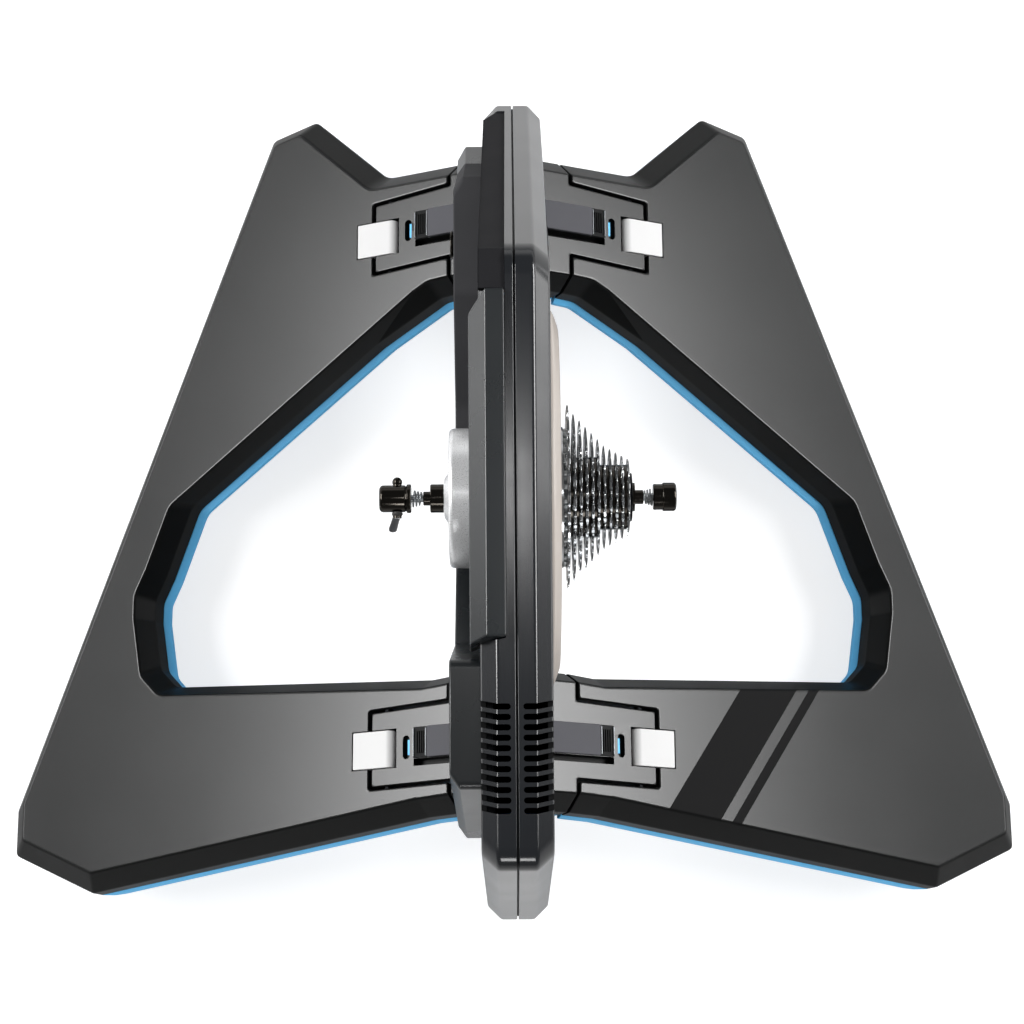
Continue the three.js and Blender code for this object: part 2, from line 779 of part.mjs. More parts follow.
function latchSolid() {
  const top = legTop + latch.proud;
  const half = latch.width / 2;
  const plate = box(-latch.inboard, latch.outboard, -half, half, top - latch.thickness, top);
  const hook = box(
    latch.hookOut,
    latch.hookOut + latch.hookThickness,
    -half,
    half,
    top - latch.hookDepth,
    top - latch.thickness / 2,
  );
  const knuckle = box(
    latch.pivotOut - latch.pivotRadius,
    latch.pivotOut + latch.pivotRadius,
    -half,
    half,
    latch.pivotHeight,
    top - latch.thickness / 2,
  );
  const seat = half + latch.pocketGap + latch.pivotSeat;
  const spindle = barAlongY(latch.pivotOut, latch.pivotHeight, latch.pivotRadius, -seat, seat, 12);
  return join(plate, hook, knuckle, spindle);
}

// The fixed cross arms

// Half of an arm. Below its top the tongue is narrower, clear of the leg's walls as they swing past.
function armHalf(atEnd, atSeam, rearEdge, frontEdge, grow) {
  const seam = -leg.seamReach - tongue.gap;
  const outline = (half) => [
    [-tongue.rootReach, rearEdge],
    [seam, rearEdge],
    [seam, atSeam - half - tongue.widerAtSeam],
    [tongue.end, atEnd - half],
    [tongue.end, atEnd + half],
    [seam, atSeam + half + tongue.widerAtSeam],
    [seam, frontEdge],
    [-tongue.rootReach, frontEdge],
  ];
  const wide = moved(outline(tongue.width / 2), grow);
  const narrow = moved(outline(tongue.width / 2 - tongue.sideRelief), grow);
  const bottom = legTop - tongue.depth - grow;
  return join(
    prism(wide, legTop - tongue.fullDepth, legTop + grow),
    prism(narrow, bottom, legTop - tongue.fullDepth),
  );
}

// What the hinge needs cut from a tongue: a rounded end, the latch's pocket, the pin's bore and the
// slot of the lock mark.
function tongueCuts(latchY, ends, slotY) {
  const half = latch.width / 2 + latch.pocketGap;
  const swing = latch.inboard + latch.swingGap;
  const long = tongue.width + leg.seamReach;
  const end = tongue.end + CUT_OVERRUN;
  const above = legTop + CUT_OVERRUN;
  const endBlock = box(0, end, latchY - long, latchY + long, 0, above);
  const knuckle = barAlongY(0, 0, tongue.end + tongue.knuckleGap, latchY - long, latchY + long, 20);
  return [
    cut(endBlock, knuckle),
    barAlongY(0, 0, swing, latchY - half, latchY + half, 16),
    box(0, end, latchY - half, latchY + half, -swing, above),
    barAlongY(0, 0, pin.radius + FIT_GAP, ends[0] - CUT_OVERRUN, ends[1] + CUT_OVERRUN),
    slotCut(slotY),
  ];
}

function slotCut(y) {
  return prism(slotOutline(y), legTop - slot.depth, legTop + CUT_OVERRUN);
}

// A slot with round ends along y.
function slotOutline(y) {
  const straight = slot.length / 2 - slot.corner;
  const end = (sign) =>
    Array.from({ length: slot.sides + 1 }, (_, i) => {
      const angle = (Math.PI * i) / slot.sides;
      return [
        -slot.reach + sign * slot.corner * Math.cos(angle),
        y + sign * (straight + slot.corner * Math.sin(angle)),
      ];
    });
  return [...end(1), ...end(-1)];
}

const arms = {
  front: {
    atEnd: tongue.frontAtEnd,
    atSeam: tongue.frontAtSeam,
    rearEdge: leg.openingFront,
    frontEdge: leg.frontEdge,
    slotY: tongue.frontAtEnd + (tongue.frontAtSeam - tongue.frontAtEnd) / 2,
  },
  rear: {
    atEnd: tongue.rearAtEnd,
    atSeam: tongue.rearAtSeam,
    rearEdge: -leg.rearEdge,
    frontEdge: -leg.openingRearEdge,
    slotY: tongue.rearAtEnd,
  },
};

function armRoots(end, grow) {
  const { atEnd, atSeam, rearEdge, frontEdge } = arms[end];
  const half = placed(armHalf(atEnd, atSeam, rearEdge, frontEdge, grow), legPlace);
  return join(half, placed(half, mirror));
}

const armSpace = [armRoots("front", MOVING_GAP), armRoots("rear", MOVING_GAP)];

function crossArm(end) {
  const cuts = tongueCuts(latchCentres[end], pinEnds[end], arms[end].slotY).map((tool) =>
    placed(tool, legPlace),
  );
  return cut(armRoots(end, 0), ...cuts, ...cuts.map((tool) => placed(tool, mirror)));
}

function armCapSolid(end) {
  const y = arms[end].slotY;
  const half = armCap.width / 2;
  const outline = [
    [-armCap.inner, y - half],
    [-armCap.outer - armCap.chamfer, y - half],
    [-armCap.outer, y - half + armCap.chamfer],
    [-armCap.outer, y + half - armCap.chamfer],
    [-armCap.outer - armCap.chamfer, y + half],
    [-armCap.inner, y + half],
  ];
  const low = legTop + FIT_GAP;
  return loft([
    { outline, at: low },
    { outline, at: low + armCap.thickness - armCap.bevel },
    { outline: moved(outline, -armCap.bevel), at: low + armCap.thickness },
  ]);
}

function lockTabSolid(end) {
  const y = arms[end].slotY;
  const inboard = -slot.reach - slot.corner + FIT_GAP;
  const low = legTop - slot.depth + FIT_GAP;
  const half = lockTab.length / 2;
  return box(inboard, inboard + lockTab.width, y - half, y + half, low, low + lockTab.thickness);
}

// The motor, hub and axle

function statorSolid() {
  const step = FULL_TURN / stator.teeth;
  const outline = Array.from({ length: stator.teeth }, (_, i) => {
    const half = (step * stator.toothShare) / 2;
    return [
      [stator.root, i * step - half],
      [stator.outer, i * step - half],
      [stator.outer, i * step + half],
      [stator.root, i * step + half],
    ];
  })
    .flat()
    .map(([radius, angle]) => [radius * Math.cos(angle), radius * Math.sin(angle)]);
  const crown = prismAlongX(outline, stator.left, stator.right);
  const bore = rod(stator.left - CUT_OVERRUN, stator.right + CUT_OVERRUN, stator.inner, 32);
  return onAxle(cut(crown, bore));
}

// The flywheel: a heavy ring round the stator, with a web to its hub.
function rotorSolid() {
  const { outer, inner, left, web, webRight, hubRadius, hubBore, hubRight } = rotor;
  return onAxle(
    turned(
      [
        [left, inner],
        [left, outer],
        [webRight, outer],
        [webRight, hubRadius],
        [hubRight, hubRadius],
        [hubRight, hubBore],
        [webRight - web, hubBore],
        [webRight - web, inner],
      ],
      40,
    ),
  );
}

function hubFlangeSolid() {
  const left = rotor.hubRight + hubFlange.gap;
  const right = left + hubFlange.thickness;
  const plate = ring(left, right, axle.radius + MOVING_GAP, hubFlange.radius);
  const bolts = Array.from({ length: hubFlange.bolts }, (_, i) => {
    const angle = (FULL_TURN * i) / hubFlange.bolts;
    const place = new THREE.Matrix4().makeTranslation(
      0,
      hubFlange.boltCircle * Math.cos(angle),
      hubFlange.boltCircle * Math.sin(angle),
    );
    return placed(rod(left, right + hubFlange.boltHeight, hubFlange.boltRadius, 6), place);
  });
  return onAxle(join(plate, ...bolts));
}

// The disc that closes the drive side round the hub.
function driveCoverSolid() {
  const start = casing.rightSide + FIT_GAP;
  return onAxle(
    turned(
      [
        [start, driveCover.bore],
        [start, driveCover.radius],
        [start + driveCover.rimThickness, driveCover.radius],
        [driveCover.outer, driveCover.rimRadius],
        [driveCover.outer, driveCover.bore],
      ],
      64,
    ),
  );
}

function hubCapSolid() {
  const { radius, left, rounding, bossRadius, bossLeft, bossRise } = hubCap;
  return onAxle(
    turned(
      [
        [bossLeft, axle.radius + FIT_GAP],
        [bossLeft, bossRadius - bossRise / 2],
        [left, bossRadius + bossRise / 2],
        [left, radius - rounding],
        [left + rounding, radius],
        [casing.leftSide - FIT_GAP, radius],
        [casing.leftSide - FIT_GAP, axle.radius + FIT_GAP],
      ],
      48,
    ),
  );
}

// A toothed plate of the cassette, drawn in (y, z).
function sprocketOutline(teeth) {
  const pitchRadius = cassette.chainPitch / (2 * Math.sin(Math.PI / teeth));
  const step = FULL_TURN / teeth;
  const polar = (radius, angle) => [radius * Math.cos(angle), radius * Math.sin(angle)];
  return Array.from({ length: teeth }, (_, i) => {
    const root = pitchRadius - cassette.rootBelow;
    const tip = pitchRadius + cassette.toothTip;
    const rootHalf = (step * cassette.toothRootShare) / 2;
    const tipHalf = (step * cassette.toothTipShare) / 2;
    return [
      polar(root, i * step - rootHalf),
      polar(tip, i * step - tipHalf),
      polar(tip, i * step + tipHalf),
      polar(root, i * step + rootHalf),
    ];
  }).flat();
}

const sprocketCentre = (place) => cassette.firstCentre + place * cassette.pitch;

// One or more sprockets, from the largest, with the collar or carrier that holds them.
function sprocketSolid(first, last) {
  const bore = cassette.bodyRadius + FIT_GAP;
  const half = cassette.plate / 2;
  const plates = [];
  for (let place = first; place <= last; place++) {
    const centre = sprocketCentre(place);
    plates.push(prismAlongX(sprocketOutline(cassette.teeth[place]), centre - half, centre + half));
  }
  const wall = last > first ? cassette.carrierWall : cassette.collarWall;
  const outermost = last + 1 === cassette.teeth.length;
  const start = sprocketCentre(first) - half;
  const end = outermost ? sprocketCentre(last) + half : sprocketCentre(last + 1) - half - FIT_GAP;
  const collar = rod(start, end, bore + wall);
  const hole = rod(start - CUT_OVERRUN, end + CUT_OVERRUN, bore);
  return onAxle(cut(join(collar, ...plates), hole));
}

const cassetteEnd = sprocketCentre(cassette.teeth.length - 1) + cassette.plate / 2;

// The quick release

const dropoutFaceRight = DROPOUT_FACE_LEFT + DROPOUT_WIDTH;
const leftStubEnd = DROPOUT_FACE_LEFT - adapter.leftStub;
const rightStubEnd = dropoutFaceRight + adapter.rightStub;
const housingRight = leftStubEnd - skewer.springSpaceLeft;
const housingLeft = housingRight - skewer.housingLength;
const nutLeft = rightStubEnd + skewer.springSpaceRight;
const camX = housingLeft + skewer.camFromEnd;

function adapterSolid(inner, face, stubEnd) {
  const { radius, stubRadius, bore } = adapter;
  return onAxle(
    turned([
      [inner, bore],
      [inner, radius],
      [face, radius],
      [face, stubRadius],
      [stubEnd, stubRadius],
      [stubEnd, bore],
    ]),
  );
}

function camHousingSolid() {
  const { housingRadius, housingFlange, housingFlangeLength, nutRounding, rodRadius } = skewer;
  const body = turned([
    [housingLeft, 0],
    [housingLeft, housingRadius - nutRounding],
    [housingLeft + nutRounding, housingRadius],
    [housingRight - housingFlangeLength, housingRadius],
    [housingRight - housingFlangeLength, housingFlange],
    [housingRight, housingFlange],
    [housingRight, 0],
  ]);
  const rodBore = rod(camX, housingRight + CUT_OVERRUN, rodRadius + FIT_GAP);
  const camBore = barAlongY(
    camX,
    0,
    skewer.camRadius + skewer.camGap,
    -housingFlange - CUT_OVERRUN,
    housingFlange + CUT_OVERRUN,
    24,
  );
  return onAxle(cut(body, rodBore, camBore));
}

// The lever hangs behind the housing on its cam, drawn about the cam's axis.
function leverSolid() {
  const camStart = -skewer.leverStart - skewer.leverThickness;
  const cam = barAlongY(0, 0, skewer.camRadius, camStart, skewer.knobReach, 20);
  const knob = solid(
    new THREE.SphereGeometry(skewer.knobRadius, 16, 12).translate(0, skewer.knobReach, 0),
  );
  const handle = (width, y, z) => ({
    outline: [
      [-width / 2, y - skewer.leverThickness],
      [width / 2, y - skewer.leverThickness],
      [width / 2, y],
      [-width / 2, y],
    ],
    at: z,
  });
  const arm = loft([
    handle(skewer.leverTipWidth, -skewer.leverStart - skewer.leverSweep, -skewer.leverLength),
    handle(skewer.leverWidth, -skewer.leverStart - skewer.leverBendSweep, -skewer.leverBend),
    handle(skewer.leverWidth, -skewer.leverStart, -skewer.camRadius),
    handle(skewer.leverWidth, -skewer.leverStart, skewer.camRadius),
  ]);
  return join(cam, knob, arm);
}

function nutSolid() {
  const { nutRadius, nutLength, nutRounding, gripStart, gripEnd, gripDepth, gripTeeth } = skewer;
  const groove = nutRadius - skewer.gripGroove;
  const body = turned([
    [0, 0],
    [0, nutRadius - gripDepth],
    [gripStart, nutRadius - gripDepth],
    [gripStart, groove],
    [gripEnd, groove],
    [gripEnd, nutRadius],
    [nutLength - nutRounding, nutRadius],
    [nutLength, nutRadius - nutRounding],
    [nutLength, 0],
  ]);
  const grip = Array.from({ length: gripTeeth * 2 }, (_, i) => {
    const radius = nutRadius - (i % 2 ? gripDepth : 0);
    const angle = (Math.PI * i) / gripTeeth;
    return [radius * Math.cos(angle), radius * Math.sin(angle)];
  });
  const bore = rod(-CUT_OVERRUN, skewer.nutBore, skewer.rodRadius + FIT_GAP);
  return cut(join(body, prismAlongX(grip, gripStart, gripEnd)), bore);
}

// A conical spring round the skewer's rod, as one unbroken wire from its large end to its small one.
function springPoints(largeEnd, smallEnd) {
  const way = Math.sign(smallEnd - largeEnd);
  const start = largeEnd + way * FIT_GAP;
  const end = smallEnd - way * FIT_GAP;
  const windFrom = start + way * spring.wire;
  const windTo = end - way * spring.wire;
  const count = spring.curls * spring.steps;
  const points = [new THREE.Vector3(start, 0, spring.largeRadius)];
  for (let i = 0; i <= count; i++) {
    const share = i / count;
    const angle = (FULL_TURN * i) / spring.steps;
    const radius = spring.largeRadius + (spring.smallRadius - spring.largeRadius) * share;
    points.push(
      new THREE.Vector3(
        windFrom + (windTo - windFrom) * share,
        radius * Math.sin(angle),
        radius * Math.cos(angle),
      ),
    );
  }
  points.push(new THREE.Vector3(end, 0, spring.smallRadius));
  return points;
}

// A tube through the points, with a flat end square to the x axis at both ends.
function woundTube(points) {
  const positions = [];
  const axis = new THREE.Vector3(1, 0, 0);
  points.forEach((point, i) => {
    const before = points[Math.max(i - 1, 0)];
    const after = points[Math.min(i + 1, points.length - 1)];
    const ahead = after.clone().sub(before).normalize();
    const radial = new THREE.Vector3(0, point.y, point.z).normalize();
    const side = new THREE.Vector3().crossVectors(ahead, radial).normalize();
    const up = new THREE.Vector3().crossVectors(side, ahead).normalize();
    const end = i === 0 || i === points.length - 1;
    if (end) side.copy(new THREE.Vector3().crossVectors(axis, radial)).multiplyScalar(Math.sign(ahead.x));
    for (let k = 0; k < spring.sides; k++) {
      const angle = (FULL_TURN * k) / spring.sides;
      const rim = point
        .clone()
        .addScaledVector(end ? radial : up, (spring.wire / 2) * Math.cos(angle))
        .addScaledVector(side, (spring.wire / 2) * Math.sin(angle));
      positions.push(rim.x, rim.y, rim.z);
    }
  });
  const { sides } = spring;
  const indices = [];
  for (let i = 0; i < points.length - 1; i++) {
    for (let k = 0; k < sides; k++) {
      const a = i * sides + k;
      const b = i * sides + ((k + 1) % sides);
      indices.push(a, b, b + sides, a, b + sides, a + sides);
    }
  }
  const last = (points.length - 1) * sides;
  for (let k = 1; k < sides - 1; k++) {
    indices.push(0, k + 1, k, last, last + k, last + k + 1);
  }
  const geometry = new THREE.BufferGeometry();
  geometry.setAttribute("position", new THREE.Float32BufferAttribute(positions, 3));
  geometry.setIndex(indices);
  return solid(geometry);
}

// The least gap between two stretches of a spring's wire that are at least half a curl apart.
function leastGap(points) {
  let least = Infinity;
  for (let i = 0; i < points.length; i++) {
    for (let j = i + spring.steps / 2; j < points.length; j++) {
      least = Math.min(least, points[i].distanceTo(points[j]) - spring.wire);
    }
  }
  return least;
}

// The sheet metal frame inside the casing, which carries the axle.
function innerFrameSolid() {
  const outline = moved(noseOutline, -innerFrame.inset);
  const plate = prismAlongX(outline, innerFrame.left, innerFrame.right);
  const rim = moved(noseOutline, -innerFrame.inset - innerFrame.rim);
  const keep = prismAlongX(rim, innerFrame.left - CUT_OVERRUN, innerFrame.right + CUT_OVERRUN);
  const disc = onAxle(rod(innerFrame.left, innerFrame.right, stator.outer, 48));
  const bar = box(
    innerFrame.left,
    innerFrame.right,
    -casing.nose,
    casing.nose,
    AXLE_HEIGHT - innerFrame.hubRadius,
    AXLE_HEIGHT + innerFrame.hubRadius,
  ).intersect(plate);
  const bore = onAxle(
    rod(innerFrame.left - CUT_OVERRUN, innerFrame.right + CUT_OVERRUN, axle.radius + FIT_GAP),
  );
  return cut(join(cut(plate, keep), disc, bar), bore, ...armSpace);
}

const socketY = casing.nose - socket.behindNose;

function socketSolid() {
  const outer = housing.side - socket.collarLength;
  const body = turned([
    [outer, 0],
    [outer, socket.collar],
    [housing.side - FIT_GAP, socket.collar],
    [housing.side - FIT_GAP, socket.radius],
    [outer + socket.length, socket.radius],
    [outer + socket.length, 0],
  ]);
  const bore = rod(outer - CUT_OVERRUN, outer + socket.boreDepth, socket.bore);
  return placed(cut(body, bore), new THREE.Matrix4().makeTranslation(0, socketY, socket.z));
}

const socketHole = placed(
  rod(housing.side - CUT_OVERRUN, casing.leftSide, socket.radius + FIT_GAP),
  new THREE.Matrix4().makeTranslation(0, socketY, socket.z),
);

// The assembly

const trainer = new THREE.Group();

// All positions above are from the middle of the casing. The toes of the legs reach further forward
// than its nose, so the whole moves back to centre the outline on the origin.
const assembly = new THREE.Group();
assembly.position.y = -CASING_BEHIND_CENTRE;
trainer.add(assembly);

function add(parent, name, finish, body, position) {
  const mesh = new THREE.Mesh(geometryOf(body), materials[finish]);
  mesh.name = name;
  if (position) mesh.position.copy(position);
  parent.add(mesh);
}

const toSeam = new THREE.Matrix4().makeTranslation(casing.seam, 0, 0);
const rightHalf = placed(halfShell(), toSeam);
const leftHalf = placed(placed(halfShell(), mirror), toSeam);
const hubHole = onAxle(rod(0, casing.rightSide + CUT_OVERRUN, driveCover.bore, 40));
const axleHole = onAxle(rod(casing.leftSide - CUT_OVERRUN, 0, axle.radius + FIT_GAP));

add(assembly, "right_shell", "shell", cut(rightHalf, hubHole, ...armSpace));
add(
  assembly,
  "left_shell",
  "shell",
  cut(leftHalf, axleHole, sideCoverSolid(FIT_GAP), frontCoverSolid(FIT_GAP), ...armSpace),
);
add(assembly, "left_side_housing", "sideHousing", cut(housingSolid(), socketHole));
add(assembly, "left_side_cover", "sideHousing", sideCoverSolid());
add(assembly, "left_front_cover", "mattePanel", frontCoverSolid());
add(assembly, "inner_frame", "steel", innerFrameSolid());
add(assembly, "power_socket", "blackSteel", socketSolid());
add(
  assembly,
  "circuit_board",
  "board",
  box(
    board.left,
    board.left + board.thickness,
    casing.nose - board.rearBehindNose,
    casing.nose - board.frontBehindNose,
    board.bottom,
    board.top,
  ),
);

add(assembly, "stator", "copper", statorSolid());
add(assembly, "rotor_ring", "steel", rotorSolid());
add(assembly, "hub_flange", "steel", hubFlangeSolid());
add(
  assembly,
  "hub_bearing",
  "steel",
  onAxle(ring(bearing.left, bearing.right, axle.radius + FIT_GAP, rotor.hubBore - FIT_GAP)),
);
add(assembly, "drive_side_cover", "paleCover", driveCoverSolid());
add(assembly, "left_hub_cap", "aluminium", hubCapSolid());
add(assembly, "axle_shaft", "steel", onAxle(ring(axle.left, axle.right, axle.bore, axle.radius)));
add(
  assembly,
  "left_axle_adapter",
  "blackSteel",
  adapterSolid(DROPOUT_FACE_LEFT + adapter.leftThickness, DROPOUT_FACE_LEFT, leftStubEnd),
);
add(
  assembly,
  "right_axle_adapter",
  "steel",
  adapterSolid(dropoutFaceRight - adapter.rightThickness, dropoutFaceRight, rightStubEnd),
);

add(
  assembly,
  "freehub_body",
  "steel",
  onAxle(ring(cassette.bodyLeft, cassetteEnd, axle.radius + MOVING_GAP, cassette.bodyRadius)),
);
add(assembly, "sprockets_28_25_23", "steel", sprocketSolid(0, 2));
add(assembly, "sprockets_21_19_17", "steel", sprocketSolid(3, 5));
cassette.teeth.slice(6).forEach((teeth, i) => {
  add(assembly, "sprocket_" + teeth, "steel", sprocketSolid(i + 6, i + 6));
});
const lockringLeft = cassetteEnd + FIT_GAP;
add(
  assembly,
  "lockring",
  "blackSteel",
  onAxle(ring(lockringLeft, lockringLeft + lockring.thickness, lockring.bore, lockring.radius)),
);

const rodLeft = camX + skewer.camRadius + skewer.rodFromCam;
const rodRight = nutLeft + skewer.nutBore - FIT_GAP;
add(assembly, "skewer_rod", "steel", onAxle(rod(rodLeft, rodRight, skewer.rodRadius)));
add(assembly, "skewer_cam_housing", "blackSteel", camHousingSolid());
add(assembly, "skewer_lever", "blackSteel", leverSolid(), new THREE.Vector3(camX, axleY, AXLE_HEIGHT));
add(assembly, "skewer_nut", "blackSteel", nutSolid(), new THREE.Vector3(nutLeft, axleY, AXLE_HEIGHT));
const springEnds = {
  left: springPoints(housingRight, leftStubEnd),
  right: springPoints(nutLeft, rightStubEnd),
};
for (const [side, points] of Object.entries(springEnds)) {
  add(assembly, side + "_skewer_spring", "steel", onAxle(woundTube(points)));
  console.log(side + " skewer spring: least gap to itself " + leastGap(points).toFixed(2) + " mm");
}

for (const end of ["front", "rear"]) add(assembly, end + "_cross_arm", "arm", crossArm(end));

for (const side of ["left", "right"]) {
  const half = new THREE.Group();
  half.scale.x = side === "left" ? -1 : 1;
  const sloped = new THREE.Group();
  sloped.position.set(leg.hingeFromMiddle, 0, leg.hingeHeight);
  sloped.rotation.set(-leg.hingePitch, leg.slope, 0);
  half.add(sloped);
  assembly.add(half);

  add(sloped, side + "_leg_cover", "legTop", legCover());
  add(sloped, side + "_leg_frame", "legFrame", legFrame());
  add(sloped, side + "_leg_tray", "blueTrim", legTray());
  add(sloped, side + "_front_foot", "rubber", legFoot(leg.toeOut, leg.toeFront, foot.toeBehind));
  const rearFoot = legFoot(leg.heelOut, -leg.heelFront, -foot.heelBehind - foot.length);
  add(sloped, side + "_rear_foot", "rubber", rearFoot);
  for (const end of ["front", "rear"]) {
    const [pinRear, pinFront] = pinEnds[end];
    const name = side + "_" + end;
    const hingePin = barAlongY(0, 0, pin.radius, pinRear, pinFront);
    const latchPlace = new THREE.Vector3(0, latchCentres[end], 0);
    add(sloped, name + "_arm_cap", "armCap", armCapSolid(end));
    add(sloped, name + "_lock_tab", "blueTrim", lockTabSolid(end));
    add(sloped, name + "_hinge_pin", "steel", hingePin);
    add(sloped, name + "_latch", "latch", latchSolid(), latchPlace);
  }
}

export default trainer;
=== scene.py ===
# %% [markdown]
# # A direct drive bike trainer
# The CAD part gives every size and joint. This lesson dresses it: each solid gets either a finish of
# its own or a fuller mesh in the same place. It starts by loading the CAD frame.

# %% Load the frame
import json
import math

import bmesh
import bpy
from mathutils import Matrix, Vector
from mathutils.geometry import tessellate_polygon


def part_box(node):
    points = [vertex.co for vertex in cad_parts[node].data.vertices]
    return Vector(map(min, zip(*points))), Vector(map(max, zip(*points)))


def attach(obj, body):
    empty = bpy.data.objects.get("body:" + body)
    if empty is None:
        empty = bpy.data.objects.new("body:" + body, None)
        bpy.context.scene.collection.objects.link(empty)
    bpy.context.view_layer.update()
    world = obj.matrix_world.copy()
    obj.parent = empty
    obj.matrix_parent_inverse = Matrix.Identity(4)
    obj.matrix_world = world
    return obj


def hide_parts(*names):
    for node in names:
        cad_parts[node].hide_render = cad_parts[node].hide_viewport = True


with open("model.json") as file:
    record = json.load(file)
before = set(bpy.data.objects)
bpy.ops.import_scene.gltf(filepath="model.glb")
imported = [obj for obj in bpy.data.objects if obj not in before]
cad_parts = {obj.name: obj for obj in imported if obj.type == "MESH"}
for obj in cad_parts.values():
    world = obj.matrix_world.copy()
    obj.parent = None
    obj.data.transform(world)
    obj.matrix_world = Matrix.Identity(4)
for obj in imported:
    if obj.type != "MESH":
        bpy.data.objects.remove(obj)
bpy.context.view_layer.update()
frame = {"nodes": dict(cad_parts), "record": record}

MM = 0.001

# %% [markdown]
# ## Colours and nodes
# Colours are read off as screen values, which are not linear, so one function turns a hex value into
# the linear numbers that a shader wants. A second one adds a node with its settings and its links,
# which keeps a long material readable as a list of steps.

# %% Colour and node helpers


def linear(hex_value):
    """An sRGB hex colour as linear red, green and blue, with an alpha of 1."""
    channels = [int(hex_value[i : i + 2], 16) / 255 for i in (1, 3, 5)]
    return (*[c / 12.92 if c <= 0.04045 else ((c + 0.055) / 1.055) ** 2.4 for c in channels], 1.0)


def shades(hex_value, *gains):
    """A colour once for each gain, darker below 1 and lighter above it."""
    return [(*[c * gain for c in linear(hex_value)[:3]], 1.0) for gain in gains]


def add_node(tree, kind, settings=None, inputs=None):
    """A new node. Each input is set to a value, or linked to a socket or to a node's first output."""
    node = tree.nodes.new(kind)
    for name, value in (settings or {}).items():
        setattr(node, name, value)
    for name, value in (inputs or {}).items():
        if isinstance(value, bpy.types.Node):
            value = value.outputs[0]
        if isinstance(value, bpy.types.NodeSocket):
            tree.links.new(value, node.inputs[name])
        else:
            node.inputs[name].default_value = value
    return node


def new_material(name, roughness, metallic=0.0, **shader_inputs):
    """A material with values on its shader's own sockets: (material, tree, shader)."""
    material = bpy.data.materials.new(name)
    material.use_nodes = True
    tree = material.node_tree
    shader = tree.nodes["Principled BSDF"]
    shader.inputs["Roughness"].default_value = roughness
    shader.inputs["Metallic"].default_value = metallic
    for key, value in shader_inputs.items():
        shader.inputs[key.replace("_", " ")].default_value = value
    return material, tree, shader


print("half white on the screen is", round(linear("#808080")[0], 3), "of its light")

# %% [markdown]
# ## An uneven finish
# No finish is the same all over: a moulding's colour and gloss drift slowly, and its surface is never
# quite flat. A single colour and roughness would make every face look like paper. So one texture
# leads the colour between two shades, one leads the gloss through a range, and one raises a bump.

# %% Colour, gloss and relief from textures
NOISE_LOW, NOISE_HIGH = 0.3, 0.7


def uneven_finish(tree, shader, drift, colours, sheen, gloss_range, relief, height_mm, strength):
    """Leads colour, gloss and relief by three textures, each a node with a value as its output."""
    ramp = add_node(tree, "ShaderNodeValToRGB", inputs={"Fac": drift})
    for stop, place, colour in zip(ramp.color_ramp.elements, (NOISE_LOW, NOISE_HIGH), colours):
        stop.position, stop.color = place, colour
    low, high = gloss_range
    ends = {"From Min": NOISE_LOW, "From Max": NOISE_HIGH, "To Min": low, "To Max": high}
    gloss = add_node(tree, "ShaderNodeMapRange", inputs={"Value": sheen, **ends})
    height = {"Height": relief, "Distance": height_mm * MM, "Strength": strength}
    bump = add_node(tree, "ShaderNodeBump", inputs=height)
    tree.links.new(ramp.outputs["Color"], shader.inputs["Base Color"])
    tree.links.new(gloss.outputs["Result"], shader.inputs["Roughness"])
    tree.links.new(bump.outputs["Normal"], shader.inputs["Normal"])


print("textures lead a finish between", NOISE_LOW, "and", NOISE_HIGH)

# %% [markdown]
# ## Moulded plastics
# Most of the trainer is injection-moulded ABS. Its mould is spark-eroded, which leaves a pebble grain
# that breaks up reflections. A picture of grain would need unwrapped meshes, so cells on object
# coordinates make it. The real grain is about half a millimetre wide, and is drawn up to twice as
# coarse so that it shows. The colour and the gloss drift over about 60 mm.

# %% Moulded plastic
FLOW_MM = 60


def moulded_plastic(name, colour, roughness, grain_mm, grain_height_mm, specular=0.35, uneven=0.06):
    """ABS, rubber, lacquer or powder coat with a pebble grain of a given width and height."""
    material, tree, shader = new_material(name, roughness, Specular_IOR_Level=specular)
    place = add_node(tree, "ShaderNodeTexCoord").outputs["Object"]
    slow = {"Vector": place, "Scale": 1 / (FLOW_MM * MM), "Detail": 4.0}
    flow = add_node(tree, "ShaderNodeTexNoise", inputs=slow)
    grain = add_node(tree, "ShaderNodeTexVoronoi", inputs={"Vector": place, "Scale": 1 / (grain_mm * MM)})
    colours = shades(colour, 1 - 1.6 * uneven, 1 + 1.6 * uneven)
    gloss_range = (roughness - 0.8 * uneven, roughness + 0.8 * uneven)
    uneven_finish(tree, shader, flow, colours, flow, gloss_range, grain, grain_height_mm, 0.6)
    return material


# The half shells: smooth enough for long, soft highlights along the bevels.
CHARCOAL_ABS = moulded_plastic(
    "charcoal moulded ABS", "#15171a", 0.18, 0.9, 0.008, specular=0.6, uneven=0.03
)
# The left side's mouldings: a shade paler than the shells, with a wider highlight.
HOUSING_ABS = moulded_plastic(
    "slate moulded ABS", "#191c1e", 0.28, 0.9, 0.008, specular=0.6, uneven=0.03
)
# The strip on the front slope: coarse, and almost without a highlight.
MATTE_ABS = moulded_plastic("matte moulded ABS", "#1c1c1e", 0.8, 0.6, 0.04, specular=0.07)
# The housing's upward faces: a paler, duller grey, painted light that stands in for the light falling on
# them.
HOUSING_LIT_TOP_ABS = moulded_plastic("grey ABS with painted light", "#39393b", 0.8, 0.6, 0.04, specular=0.1)
# The walls of legs and arms: black, with a faint sheen along the edges.
WALL_ABS = moulded_plastic("black satin ABS", "#0a0b0b", 0.38, 0.7, 0.02, specular=0.15)
# The caps on the arms: a flat mid grey.
ARM_CAP_ABS = moulded_plastic("grey matte ABS", "#4b4b50", 0.62, 0.7, 0.03, specular=0.25)
